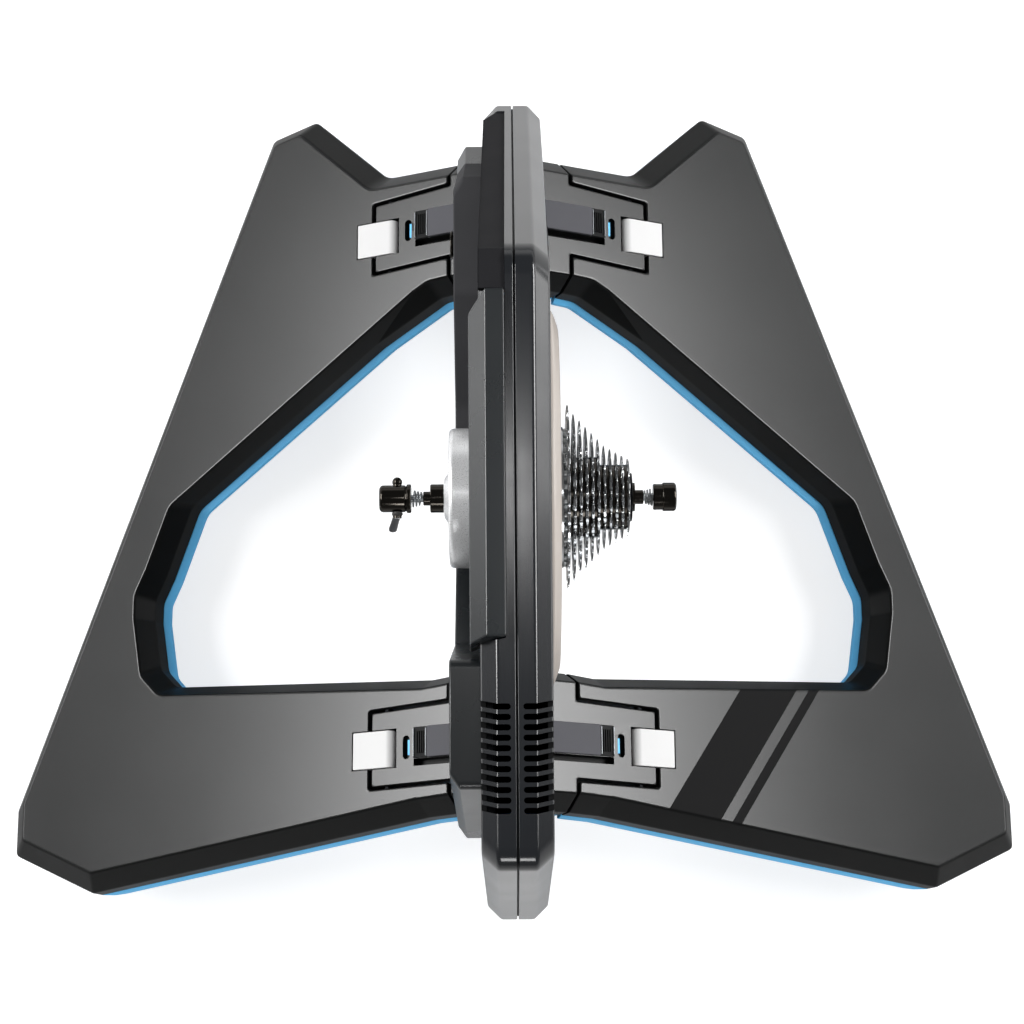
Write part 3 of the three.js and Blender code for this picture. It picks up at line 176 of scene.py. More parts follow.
# Painted shade: the faces in the seam's gap and the base of the caps' windows, a black that stays black.
RECESS_SHADE_ABS = moulded_plastic("black matte ABS", "#0c0d0e", 0.6, 0.7, 0.02, specular=0.2)
# The trays and lock marks: coloured all through, so their edges are as bright as their faces.
BLUE_ABS = moulded_plastic("sky blue moulded ABS", "#66c4fb", 0.42, 0.9, 0.02, uneven=0.02)
# The feet: soft black with hardly a highlight.
RUBBER = moulded_plastic("black natural rubber", "#121213", 0.85, 1.2, 0.08, specular=0.2)
print("moulded plastics:", [m.name for m in bpy.data.materials if "ABS" in m.name])

# %% [markdown]
# ## The satin lacquer on top of the legs
# The flat tops are sprayed, which shows broad, soft reflections. A plain glossy shader would come
# close, but sprayed lacquer dries with an orange peel about 2.4 mm from dimple to dimple, and that
# takes the hardness off a lamp's reflection. So it is a plastic with a wide, low grain.

# %% Satin lacquer


def satin_lacquer(name):
    """Dark grey lacquer with an orange-peel bump."""
    return moulded_plastic(name, "#161717", 0.25, 2.4, 0.006, specular=0.5, uneven=0.008)


LEG_LACQUER = satin_lacquer("dark grey satin lacquer")
print("lacquer:", LEG_LACQUER.name)

# %% [markdown]
# ## Metals and coats on metal
# A metal's colour is its reflection, so a bright metal has a bright base colour, and its character
# comes from roughness and relief. Wire is drawn, so its grain is stretched. Powder coats are plastic
# baked on metal, so the latches and the lever's handle get the plastics' function.

# %% Metals
PATCH_MM = 18


def metal(
    name, colour, roughness, grain_mm, grain_height_mm, stretch=(1, 1, 1), tarnish=0.08, metallic=1.0
):
    """A metal with a grain that can be stretched, and patches up to a tarnish darker."""
    material, tree, shader = new_material(name, roughness, metallic)
    place = add_node(tree, "ShaderNodeTexCoord").outputs["Object"]
    along = add_node(tree, "ShaderNodeMapping", inputs={"Vector": place, "Scale": stretch})
    fine = {"Vector": along, "Scale": 1 / (grain_mm * MM), "Detail": 5.0, "Roughness": 0.6}
    grain = add_node(tree, "ShaderNodeTexNoise", inputs=fine)
    slow = {"Vector": place, "Scale": 1 / (PATCH_MM * MM), "Detail": 3.0}
    patches = add_node(tree, "ShaderNodeTexNoise", inputs=slow)
    gloss_range = (roughness * 0.75, roughness * 1.3)
    colours = shades(colour, 1 - tarnish, 1)
    uneven_finish(tree, shader, patches, colours, grain, gloss_range, grain, grain_height_mm, 0.5)
    return material


# The freehub: pale, with a soft reflection.
SATIN_ALUMINIUM = metal("satin anodised aluminium", "#e9eaeb", 0.34, 0.5, 0.01, tarnish=0.02)
# The latches: silver from every side, and never a mirror.
SILVER_COAT = moulded_plastic(
    "silver powder coat", "#cdcdcd", 0.5, 0.6, 0.01, specular=0.4, uneven=0.02
)
# The sprockets and the flange: bright plating with greyer patches.
NICKEL_STEEL = metal("nickel plated steel", "#c6c8ca", 0.16, 0.8, 0.02, tarnish=0.25)
# The hinge pins, the lockring and the legs' channels: black with a dull gleam.
DARK_STEEL = metal("black oxide steel", "#1c1d1f", 0.3, 0.6, 0.01)
# The quick release and the axle's ends: a dark mirror.
BLACK_CHROME = metal("black chrome", "#3a3733", 0.12, 1.5, 0.004)
# The springs and bolts: a cool grey, half bright. On the caps' small lips it is a painted highlight.
ZINC_STEEL_AND_LIP_HIGHLIGHT = metal("zinc plated steel", "#a9adb0", 0.32, 0.7, 0.02, tarnish=0.15)
# The lever's handle: warm dark grey with a soft highlight.
LEVER_COAT = moulded_plastic(
    "dark grey powder coat", "#353332", 0.42, 0.6, 0.01, specular=0.5, uneven=0.02
)
# The circuit board: green resin over glass cloth.
BOARD_RESIN = moulded_plastic("green board resin", "#1d5a3a", 0.4, 0.6, 0.01)
# The stator's windings: brown lacquer over copper, with the wire's direction in its gloss.
COPPER = metal("enamelled copper wire", "#8f5a36", 0.3, 1.0, 0.1, stretch=(8, 1, 1))
# The disc beside the cassette: warm white, with a wide highlight.
CREAM_LACQUER = moulded_plastic(
    "cream lacquered aluminium", "#aea69f", 0.32, 1.5, 0.006, specular=0.5, uneven=0.03
)
print("coats on metal:", [m.name for m in (SILVER_COAT, LEVER_COAT, CREAM_LACQUER)])

# %% [markdown]
# ## Turned aluminium
# The hub cap comes off a lathe, whose tool leaves rings round the axle, here 0.6 mm apart. Rings could
# be cut into the mesh, but they are far too shallow to show in its outline. So a sine of the distance
# from the axle raises the bump. Distance along the axle counts for less, so that the rings also run
# round the rim.

# %% Turned aluminium
ALONG_AXLE = 0.35


def turned_aluminium(name, colour, roughness, pitch_mm, axle):
    """Aluminium with the lathe's rings about the axle, at the tool's pitch."""
    material = metal(name, colour, roughness, 0.5, 0.004, tarnish=0.03, metallic=0.6)
    tree = material.node_tree
    place = add_node(tree, "ShaderNodeTexCoord").outputs["Object"]
    centred = add_node(tree, "ShaderNodeVectorMath", {"operation": "SUBTRACT"}, {0: place, 1: axle})
    squeeze = {0: centred, 1: (ALONG_AXLE, 1, 1)}
    squeezed = add_node(tree, "ShaderNodeVectorMath", {"operation": "MULTIPLY"}, squeeze)
    distance = add_node(tree, "ShaderNodeVectorMath", {"operation": "LENGTH"}, {0: squeezed})
    turns = {0: distance.outputs["Value"], 1: 2 * math.pi / (pitch_mm * MM)}
    phase = add_node(tree, "ShaderNodeMath", {"operation": "MULTIPLY"}, turns)
    rings = add_node(tree, "ShaderNodeMath", {"operation": "SINE"}, {0: phase})
    height = {"Height": rings, "Distance": 0.006 * MM, "Strength": 0.5}
    bump = add_node(tree, "ShaderNodeBump", inputs=height)
    tree.links.new(bump.outputs["Normal"], tree.nodes["Principled BSDF"].inputs["Normal"])
    return material


axle_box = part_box("axle_shaft")
AXLE = Vector((0, (axle_box[0].y + axle_box[1].y) / 2, (axle_box[0].z + axle_box[1].z) / 2))
TURNED_ALUMINIUM = turned_aluminium("turned aluminium", "#eeeff0", 0.3, 0.6, AXLE)
print("axle at", [round(v / MM, 1) for v in AXLE], "mm;", len(bpy.data.materials), "materials")

# %% [markdown]
# ## Outlines and shells
# The legs, arms and casing halves are all made the same way on the real thing: one outline, drawn
# once, with walls that lean in or out on their way down and rounded edges where the mould was
# rounded. A bevel modifier on a boxy mesh could round them, but its width is the same everywhere and
# it stops at the narrowest face. So the outline is moved edge by edge, its corners are rounded, and
# copies of it at many heights are joined into a skin.

# %% Move an outline and round its corners
CORNER_STEPS, STRAIGHT, LONGEST_SHARE = 4, 1e-9, 0.45


def moved(outline, distances):
    """A closed outline with each edge moved outwards by its own distance."""
    count = len(outline)
    if not hasattr(distances, "__len__"):
        distances = [distances] * count
    points = [Vector(p) for p in outline]
    along = [(points[(i + 1) % count] - points[i]).normalized() for i in range(count)]
    starts = [points[i] + Vector((along[i].y, -along[i].x)) * distances[i] for i in range(count)]
    result = []
    for i in range(count):
        before, here = along[i - 1], along[i]
        turn = before.cross(here)
        if abs(turn) < STRAIGHT:
            result.append(tuple(starts[i]))
            continue
        reach = (starts[i] - starts[i - 1]).cross(here) / turn
        result.append(tuple(starts[i - 1] + before * reach))
    return result


def fillet(before, corner, after, steps=CORNER_STEPS):
    """Points on a smooth curve from before to after that turns at corner."""
    a, b, c = Vector(before), Vector(corner), Vector(after)
    shares = [step / steps for step in range(steps + 1)]
    return [a * (1 - t) ** 2 + b * 2 * t * (1 - t) + c * t**2 for t in shares]


def rounded(outline, radii, steps=CORNER_STEPS):
    """A closed outline with each corner replaced by an arc of steps + 1 points."""
    count = len(outline)
    if not hasattr(radii, "__len__"):
        radii = [radii] * count
    points = [Vector(p) for p in outline]
    result = []
    for i in range(count):
        back, ahead = points[i - 1] - points[i], points[(i + 1) % count] - points[i]
        angle = back.angle(ahead)
        reach = radii[i] / max(math.tan(angle / 2), 1e-6)
        reach = min(reach, LONGEST_SHARE * back.length, LONGEST_SHARE * ahead.length)
        start = points[i] + back.normalized() * reach
        end = points[i] + ahead.normalized() * reach
        result += [tuple(point) for point in fillet(start, points[i], end, steps)]
    return result


print("a square grown by 1:", moved([(0, 0), (1, 0), (1, 1), (0, 1)], 1))

# %% [markdown]
# ## A skin through rings
# Blender could loft two curves, but a mesh from rings of points is as easy and keeps every number in
# sight. Rings of equal length are joined by quads, and the ends are closed with triangles, because
# these outlines are hollow and one large face would be filled wrongly.

# %% Rings to a skin


def full_turn(count):
    """The angles of a circle's evenly spaced points."""
    return [2 * math.pi * k / count for k in range(count)]


def skin(rings, cap_first=True, cap_last=True):
    """Vertices and faces of a closed skin through rings of points, all of the same length."""
    count = len(rings[0])
    vertices = [tuple(p) for ring in rings for p in ring]
    faces = []
    for level in range(len(rings) - 1):
        for i in range(count):
            a, b = level * count + i, level * count + (i + 1) % count
            faces.append((a, b, b + count, a + count))
    for wanted, start, ring in ((cap_first, 0, rings[0]), (cap_last, len(vertices) - count, rings[-1])):
        if wanted:
            triangles = tessellate_polygon([[Vector(p) for p in ring]])
            faces += [tuple(start + i for i in triangle) for triangle in triangles]
    return vertices, faces


print("a skin through two rings of 4 has", len(skin([[(0, 0, 0)] * 4] * 2, False, False)[1]), "faces")

# %% [markdown]
# ## From numbers to a finished piece
# Every mesh goes through one function: it welds the mesh, turns all faces outwards, shades it smooth
# except across real edges, gives it its materials, and puts it on its CAD body. Normals are led by
# the large faces, because a small rounding between two flat faces otherwise bends the light on both.

# %% Pieces
SHARP, FACE_WEIGHT, WELD_MM = 32, 90, 0.002


def apply_modifiers(thing):
    """The evaluated mesh, as a plain one with no modifier left."""
    graph = bpy.context.evaluated_depsgraph_get()
    mesh = bpy.data.meshes.new_from_object(thing.evaluated_get(graph), depsgraph=graph)
    thing.modifiers.clear()
    thing.data = mesh
    return thing


def dress(thing, sharp=SHARP):
    """Smooth shading up to an angle, with each normal led by the larger faces beside it."""
    thing.data.shade_smooth()
    thing.data.set_sharp_from_angle(angle=math.radians(sharp))
    weighted = thing.modifiers.new("led by large faces", "WEIGHTED_NORMAL")
    weighted.keep_sharp, weighted.weight = True, FACE_WEIGHT
    return apply_modifiers(thing)


def placed_in_scene(name, mesh, materials):
    """An object for a mesh, with one material or a list of them."""
    thing = bpy.data.objects.new(name, mesh)
    bpy.context.scene.collection.objects.link(thing)
    for material in materials if isinstance(materials, (list, tuple)) else [materials]:
        mesh.materials.append(material)
    return thing


def piece(name, vertices, faces, materials=(), body=None, place=None, sharp=SHARP, pick=None):
    """A mesh in metres from numbers in millimetres. pick chooses a face's material by its centre and
    normal as they were drawn, before place moves them."""
    mesh = bpy.data.meshes.new(name)
    mesh.from_pydata([tuple(v) for v in vertices], [], faces)
    build = bmesh.new()
    build.from_mesh(mesh)
    bmesh.ops.remove_doubles(build, verts=build.verts, dist=WELD_MM)
    bmesh.ops.recalc_face_normals(build, faces=build.faces)
    if pick:
        for face in build.faces:
            face.material_index = pick(face.calc_center_median(), face.normal)
    build.transform((place or Matrix.Identity(4)) @ Matrix.Scale(MM, 4))
    if place is not None and place.determinant() < 0:
        bmesh.ops.reverse_faces(build, faces=build.faces)
    build.to_mesh(mesh)
    build.free()
    thing = dress(placed_in_scene(name, mesh, materials), sharp)
    if body:
        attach(thing, body)
    return thing


print("edges over", SHARP, "degrees stay sharp")

# %% [markdown]
# ## Cuts, blocks and rounded copies
# Cutting is done with Blender's exact boolean. It leaves slivers narrower than a hair, whose edges
# would be shaded as real ones, so they are joined to their neighbours. A small CAD solid that only
# needs softer edges is copied and bevelled, which keeps its size.

# %% Cuts, blocks and rounded copies
SLIVER_MM, FLAT_CUT, FLAT_COPY = 0.004, math.radians(0.4), math.radians(1.5)
COPY_WELD_MM, COPY_CREASE, COPY_SHARP = 0.003, math.radians(28), 40


def carve(thing, *tools, sharp=SHARP):
    """Takes the tools' shapes out of a piece, removes the tools and joins the slivers a cut leaves."""
    for tool in tools:
        cutter = thing.modifiers.new("cut", "BOOLEAN")
        cutter.operation, cutter.solver, cutter.object = "DIFFERENCE", "EXACT", tool
    apply_modifiers(thing)
    for tool in tools:
        bpy.data.objects.remove(tool)
    build = bmesh.new()
    build.from_mesh(thing.data)
    bmesh.ops.remove_doubles(build, verts=build.verts, dist=SLIVER_MM * MM)
    bmesh.ops.dissolve_degenerate(build, edges=build.edges, dist=SLIVER_MM * MM)
    bmesh.ops.dissolve_limit(
        build, angle_limit=FLAT_CUT, verts=build.verts, edges=build.edges, delimit={"MATERIAL"}
    )
    build.to_mesh(thing.data)
    build.free()
    return dress(thing, sharp)


def block(name, low, high, place=None, materials=()):
    """A plain box between two corners, to cut with or to start from."""
    corners = [(x, y, z) for z in (low[2], high[2]) for y in (low[1], high[1]) for x in (low[0], high[0])]
    faces = [(0, 2, 3, 1), (4, 5, 7, 6), (0, 1, 5, 4), (1, 3, 7, 5), (3, 2, 6, 7), (2, 0, 4, 6)]
    return piece(name, corners, faces, list(materials), place=place)


def rounded_copy(node, name, width_mm, material, body, steps=2):
    """A CAD node's shape with its edges rounded, standing for that node."""
    build = bmesh.new()
    build.from_mesh(frame["nodes"][node].data)
    bmesh.ops.remove_doubles(build, verts=build.verts, dist=COPY_WELD_MM * MM)
    bmesh.ops.dissolve_limit(build, angle_limit=FLAT_COPY, verts=build.verts, edges=build.edges)
    mesh = bpy.data.meshes.new(name)
    build.to_mesh(mesh)
    build.free()
    mesh.materials.clear()
    thing = placed_in_scene(name, mesh, material)
    bevel = thing.modifiers.new("rounded edges", "BEVEL")
    bevel.width, bevel.segments = width_mm * MM, steps
    bevel.limit_method, bevel.angle_limit = "ANGLE", COPY_CREASE
    dress(apply_modifiers(thing), COPY_SHARP)
    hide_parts(node)
    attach(thing, body)
    return thing


print("slivers under", SLIVER_MM, "mm are joined after each cut")

# %% [markdown]
# ## The frame of a leg
# A leg hinges on an axis that slopes forward, and its flat top slopes down to the floor. Drawing it
# in world coordinates would be hard to read, so everything on a leg is drawn in the leg's own frame:
# x runs outboard down the slope from the hinge axis, y forward along that axis, z square to the top.
# One matrix for each side then puts it in place.

# %% The leg's frame and outline
HINGE_FROM_MIDDLE, HINGE_HEIGHT, CASING_BACK = 87, 135, 8
SLOPE, PITCH = math.radians(24.8), math.radians(9.85)
SIDES = {"right": 1, "left": -1}


def leg_place(side):
    """The matrix from a leg's own frame to the trainer's, mirrored for the left side."""
    right = (
        Matrix.Translation(Vector((HINGE_FROM_MIDDLE, -CASING_BACK, HINGE_HEIGHT)) * MM)
        @ Matrix.Rotation(-PITCH, 4, "X")
        @ Matrix.Rotation(SLOPE, 4, "Y")
    )
    return Matrix.Scale(SIDES[side], 4, (1, 0, 0)) @ right


TOP, WALL_DEPTH, BAND_DEPTH, TRAY_DEPTH = 5, 18, 12, 7.7
WALL_FOOT, BAND_FOOT = TOP - WALL_DEPTH, TOP - WALL_DEPTH - BAND_DEPTH
COVER_WALL, FIT = 3, 0.3
SEAM_X, TONGUE_END, TONGUE_WIDTH, TONGUE_GAP, WIDER = -48.5, 11.3, 52, 1.8, 0.9
FRONT_END, FRONT_SEAM, REAR_END, REAR_SEAM = 203.2, 207.9, -176.6, -174.6
FLARE = {
    "rear": 11,
    "heel": 17.5,
    "side": 15,
    "seam": 0,
    "notch": 0,
    "nose": 8,
    "diagonal": 2.5,
    "curve": 7,
    "window rear": 9.5,
}
NOTCH_HALF = TONGUE_WIDTH / 2 + TONGUE_GAP
NOTCH_END = TONGUE_END + TONGUE_GAP
# x, y, the kind of edge that starts here, and the corner's radius
LEG_POINTS = [
    (SEAM_X, -211.5, "rear", 0.8),
    (-24, -212.7, "rear", 9),
    (241, -248, "side", 5),
    (302, -220, "heel", 5),
    (302, -192.5, "side", 6),
    (98, 294, "side", 6),
    (76, 299, "side", 6),
    (16.2, 243, "side", 16),
    (SEAM_X, 243, "seam", 0.8),
    (SEAM_X, FRONT_SEAM + NOTCH_HALF + WIDER, "notch", 2.4),
    (NOTCH_END, FRONT_END + NOTCH_HALF, "notch", 2.4),
    (NOTCH_END, FRONT_END - NOTCH_HALF, "notch", 2.4),
    (SEAM_X, FRONT_SEAM - NOTCH_HALF - WIDER, "seam", 2.4),
    (SEAM_X, 165, "nose", 0.8),
    (-32, 164, "nose", 14),
    (-21.5, 158.5, "diagonal", 12),
    (182.3, 20.8, "curve", 16),
    (200.8, -25, "curve", 12),
    (210.5, -44, "curve", 14),
    (210.5, -61.5, "curve", 14),
    (203, -106, "window rear", 12),
    (187.4, -122.2, "window rear", 12),
    (-28, -136.5, "window rear", 12),
    (SEAM_X, -134.5, "seam", 0.8),
    (SEAM_X, REAR_SEAM + NOTCH_HALF + WIDER, "notch", 2.4),
    (NOTCH_END, REAR_END + NOTCH_HALF, "notch", 2.4),
    (NOTCH_END, REAR_END - NOTCH_HALF, "notch", 2.4),
    (SEAM_X, REAR_SEAM - NOTCH_HALF - WIDER, "seam", 2.4),
]
LEG_OUTLINE = [(x, y) for x, y, _, _ in LEG_POINTS]
LEG_RADII = [radius for *_, radius in LEG_POINTS]
LEG_KINDS = [kind for _, _, kind, _ in LEG_POINTS]
print("a leg's outline has", len(LEG_OUTLINE), "corners")

# %% [markdown]
# ## The two leg covers
# Each cover is one big moulding: a flat satin top, walls that slope out by a different amount along
# every edge, and a straight band below them. It could be a plain extrusion with a bevel, but the walls
# differ too much from edge to edge. So the levels of the wall are listed once, each a height and how
# far every edge is moved out there, with extra levels where an edge is rounded. Three more levels,
# moved in by the wall's thickness, give the inside.

# %% The levels of a leg's wall
RIM, RIM_STEPS, FLAT_MARGIN, FOOT_ROUNDING, BAND_EDGE = 1.6, 4, 0.8, 1.0, 0.6


def wall_levels(kinds, rim=RIM):
    """From the flat top down to the band's foot: (height, distance of each edge outwards)."""
    flares = [FLARE[kind] for kind in kinds]
    levels = [(TOP, [-rim - FLAT_MARGIN] * len(flares))]
    for step in range(RIM_STEPS + 1):
        t = step / RIM_STEPS
        levels.append(
            (TOP - t * t * rim, [-((1 - t) ** 2) * rim + t * t * rim * f / WALL_DEPTH for f in flares])
        )
    for t in (0, 0.5, 1):
        z = WALL_FOOT + (1 - 2 * t) * FOOT_ROUNDING
        share = FOOT_ROUNDING / WALL_DEPTH * (1 - t) ** 2
        levels.append((z, [f * (1 - share) for f in flares]))
    levels.append((BAND_FOOT + BAND_EDGE, flares))
    levels.append((BAND_FOOT, [f - BAND_EDGE for f in flares]))
    return levels


def stacked(outline, radii, levels):
    """Rings of an outline moved to each level and rounded at its corners."""
    return [[(x, y, z) for x, y in rounded(moved(outline, out), radii)] for z, out in levels]


def along_pin(name, x, z, radius, y0, y1, place, sides=24):
    """A round bar along y, to cut with or to keep."""
    turn = full_turn(sides)
    rings = [[(x + radius * math.cos(a), y, z + radius * math.sin(a)) for a in turn] for y in (y0, y1)]
    return piece(name, *skin(rings), place=place)


print("wall levels from", wall_levels(["rear"])[0][0], "down to", wall_levels(["rear"])[-1][0], "mm")

# %% [markdown]
# Pockets for the latches and bores for the hinge pins go through the finished cover. The top and the
# walls are one mesh with two materials, chosen by which way a face looks.

# %% A leg's cover with its pockets and bores
LATCH_HALF, LATCH_OUT, POCKET_DEPTH, PIN_RADIUS, BORE_HALF = 13.8, 26.4, 11, 3.3, 34.3
LATCH_CENTRES = {"front": 203.2, "rear": -176.5}
FACING_UP = 0.9
OVER = 2  # how far a cutting tool reaches past the face it cuts


def flat_top(centre, normal):
    """1, the lacquer, on faces of the flat top, and 0, the walls' plastic, elsewhere."""
    return 1 if normal.z > FACING_UP and centre.z > TOP - RIM else 0


def leg_cover(side):
    """A hollow cover: down the outside, then up the inside."""
    flares = [FLARE[k] for k in LEG_KINDS]
    levels = wall_levels(LEG_KINDS)
    levels.append((BAND_FOOT, [f - COVER_WALL for f in flares]))
    levels.append((WALL_FOOT, [f - COVER_WALL for f in flares]))
    levels.append((TOP - COVER_WALL, [-COVER_WALL] * len(flares)))
    vertices, faces = skin(stacked(LEG_OUTLINE, LEG_RADII, levels))
    place = leg_place(side)

    lacquer = STRIPED_LACQUER if side == "right" else LEG_LACQUER
    cover = piece(side + "_leg_top", vertices, faces, [WALL_ABS, lacquer], place=place, pick=flat_top)
    tools = []
    for y in LATCH_CENTRES.values():
        low, high = (TONGUE_END, y - LATCH_HALF, -POCKET_DEPTH), (LATCH_OUT, y + LATCH_HALF, TOP + OVER)
        tools.append(block("pocket tool", low, high, place))
        tools.append(along_pin("pin tool", 0, 0, PIN_RADIUS, y - BORE_HALF, y + BORE_HALF, place))
    carve(cover, *tools)
    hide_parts(side + "_leg_cover")
    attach(cover, side + "_leg")
    return cover


print("a pocket is", 2 * LATCH_HALF, "mm long and", POCKET_DEPTH + TOP, "mm deep")

# %% [markdown]
# ## Two bands on the drive side's leg
# Two dark bands are printed across the rear arm of the drive side's leg. Each could be its own thin
# mesh, but ink has no thickness. So the material measures how far a point lies from the hinge along
# two directions on the leg's top, and compares that with the bands' edges. The ink is duller than the
# lacquer round it.

# %% The banded lacquer
BAND_ANGLE = math.radians(56.1)
BANDS = [(138.6, 175.5), (183.5, 190.4)]
BANDS_BEHIND = -112
INK, INK_ROUGHNESS, INK_SPECULAR = "#050506", 0.62, 0.12


def striped_lacquer():
    """The lacquer with the bands' edges in millimetres across them."""
    material = satin_lacquer("dark grey satin lacquer with bands")
    tree = material.node_tree
    shader = tree.nodes["Principled BSDF"]
    leg = leg_place("right")
    x_axis, y_axis = leg.col[0].to_3d(), leg.col[1].to_3d()
    across = (math.sin(BAND_ANGLE) * x_axis - math.cos(BAND_ANGLE) * y_axis) / MM
    place = add_node(tree, "ShaderNodeTexCoord").outputs["Object"]
    from_hinge = {0: place, 1: leg.translation}
    from_hinge = add_node(tree, "ShaderNodeVectorMath", {"operation": "SUBTRACT"}, from_hinge)
    measured = []
    for direction in (across, y_axis / MM):
        dot = {0: from_hinge, 1: direction}
        dot = add_node(tree, "ShaderNodeVectorMath", {"operation": "DOT_PRODUCT"}, dot)
        measured.append(dot.outputs["Value"])
    distance, forward = measured
    inside = 0.0
    for low, high in BANDS:
        above = add_node(tree, "ShaderNodeMath", {"operation": "GREATER_THAN"}, {0: distance, 1: low})
        below = add_node(tree, "ShaderNodeMath", {"operation": "LESS_THAN"}, {0: distance, 1: high})
        both = {0: above, 1: below, 2: inside}
        inside = add_node(tree, "ShaderNodeMath", {"operation": "MULTIPLY_ADD"}, both)
    behind = {0: forward, 1: BANDS_BEHIND}
    on_rear_arm = add_node(tree, "ShaderNodeMath", {"operation": "LESS_THAN"}, behind)
    printed = {0: inside, 1: on_rear_arm}
    amount = add_node(tree, "ShaderNodeMath", {"operation": "MULTIPLY"}, printed)
    colours = {"Factor": amount, 6: shader.inputs["Base Color"].links[0].from_socket, 7: linear(INK)}
    mixed = add_node(tree, "ShaderNodeMix", {"data_type": "RGBA"}, colours)
    tree.links.new(mixed.outputs[2], shader.inputs["Base Color"])
    for socket, in_ink in (("Roughness", INK_ROUGHNESS), ("Specular IOR Level", INK_SPECULAR)):
        plain = shader.inputs[socket]
        before = plain.links[0].from_socket if plain.links else plain.default_value
        ends = {"Value": amount, "To Min": before, "To Max": in_ink}
        tree.links.new(add_node(tree, "ShaderNodeMapRange", inputs=ends).outputs[0], plain)
    return material


STRIPED_LACQUER = striped_lacquer()
for side in SIDES:
    print(side, "cover has", len(leg_cover(side).data.polygons), "faces")

# %% [markdown]
# ## Trays
# Below each cover lies a tray in the trim colour. Along the opening and the rear it stands out a
# little past the cover's wall, so it shows from above as a thin bright line, and at the outer side it
# draws in under the leg. It uses the cover's outline, so the two always fit.

# %% The trays
UNDER = {"heel": -8, "side": -8}
LEDGE = {"diagonal": 3, "curve": 3, "nose": 2.5, "rear": 1.4}
# height below the top or above the foot, and how much of LEDGE and UNDER is reached there
TRAY_TOP_EDGE, TRAY_LEVELS, TRAY_FOOT_EDGE = (0.5, 0.1), [(4, 0.4), (1.2, 0.85)], 1.2


def leg_tray(side):
    """A solid tray under a leg's cover."""
    flares = [FLARE[k] for k in LEG_KINDS]
    under = [UNDER.get(k, 0) for k in LEG_KINDS]
    ledge = [LEDGE.get(k, 0) for k in LEG_KINDS]
    top, foot = BAND_FOOT - FIT, BAND_FOOT - FIT - TRAY_DEPTH
    edge, share = TRAY_TOP_EDGE
    levels = [
        (top, [f - edge for f in flares]),
        (top - edge, [f + share * out for f, out in zip(flares, ledge)]),
    ]
    for above, share in TRAY_LEVELS:
        levels.append((foot + above, [f + out + share * u for f, u, out in zip(flares, under, ledge)]))
    levels.append((foot, [f + out + u - TRAY_FOOT_EDGE for f, u, out in zip(flares, under, ledge)]))
    vertices, faces = skin(stacked(LEG_OUTLINE, LEG_RADII, levels))
    tray = piece(side + "_tray", vertices, faces, [BLUE_ABS], side + "_leg", leg_place(side))
    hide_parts(side + "_leg_tray")
    return tray


for side in SIDES:
    print(side, "tray has", len(leg_tray(side).data.polygons), "faces")

# %% [markdown]
# ## The fixed arms
# A fixed arm comes out of the casing at each hinge. It carries the leg's profile on towards the
# casing, so that leg and arm read as one form with a seam across it, and ends in a tongue between the
# leg's two ears. One outline could be cut along the seam, but then the gap would have sharp lips. So
# the arm gets its own outline with the leg's wall levels, and a relief lets the leg swing past.

# %% An arm's outline and levels
ROOT_REACH, ARM_FOOT, ARM_GAP, ARM_RIM = 95.5, -33, 1.8, 1.2
RELIEF_FROM, RELIEF, RELIEF_STEP, BLUE_EDGE = -10, 2.6, 0.3, 0.6
ARM_FOOT_EDGE = ((1.5, 0.2), (0, 1.8))  # height above the foot, and how far it is drawn in
ARMS = {
    "front": dict(end=203.2, seam=207.9, rear=165, front=243, kinds=("nose", "side"), slot=205.55),
    "rear": dict(
        end=-176.6, seam=-174.6, rear=-211.5, front=-134.5, kinds=("rear", "window rear"), slot=-176.6
    ),
}
ARM_RADII = [0.4, 0.8, 2.0, 2.4, 2.4, 2.0, 0.8, 0.4]
TONGUE_SIDES = (2, 4)
ARM_SEAM_X = SEAM_X - ARM_GAP


def arm_outline(arm):
    """From the casing out to the tongue and back, in the leg's frame."""
    half = TONGUE_WIDTH / 2
    return [
        (-ROOT_REACH, arm["rear"]),
        (ARM_SEAM_X, arm["rear"]),
        (ARM_SEAM_X, arm["seam"] - half - WIDER),
        (TONGUE_END, arm["end"] - half),
        (TONGUE_END, arm["end"] + half),
        (ARM_SEAM_X, arm["seam"] + half + WIDER),
        (ARM_SEAM_X, arm["front"]),
        (-ROOT_REACH, arm["front"]),
    ]


def relieved(distances):
    """The same distances, with the tongue's sides moved in."""
    return [-RELIEF if i in TONGUE_SIDES else distance for i, distance in enumerate(distances)]


def arm_levels(kinds):
    """The leg's wall levels with a step in the tongue's sides, and a blue foot below the band."""
    walls = wall_levels(kinds, rim=ARM_RIM)
    share = (TOP - RELIEF_FROM) / WALL_DEPTH
    at_relief = [FLARE[kind] * share for kind in kinds]
    levels = [level for level in walls if level[0] > RELIEF_FROM] + [(RELIEF_FROM, at_relief)]
    levels.append((RELIEF_FROM - RELIEF_STEP, relieved(at_relief)))
    levels += [(z, relieved(out)) for z, out in walls if z < RELIEF_FROM]
    foot = [FLARE[k] - (RELIEF if i in TONGUE_SIDES else 0) for i, k in enumerate(kinds)]
    blue_top = BAND_FOOT - FIT
    blue = [(blue_top, BLUE_EDGE), (blue_top - BLUE_EDGE, 0)]
    blue += [(ARM_FOOT + above, inset) for above, inset in ARM_FOOT_EDGE]
    levels += [(z, [f - inset for f in foot]) for z, inset in blue]
    return levels


print("the arms' seams lie", ARM_GAP, "mm from the legs'")

# %% [markdown]
# An arm is cut in six places. Its nose is rounded off, a hollow and a pocket let the latch swing, the
# hinge pin gets its bore, and there is a slot for the lock mark and a groove beside the cap.

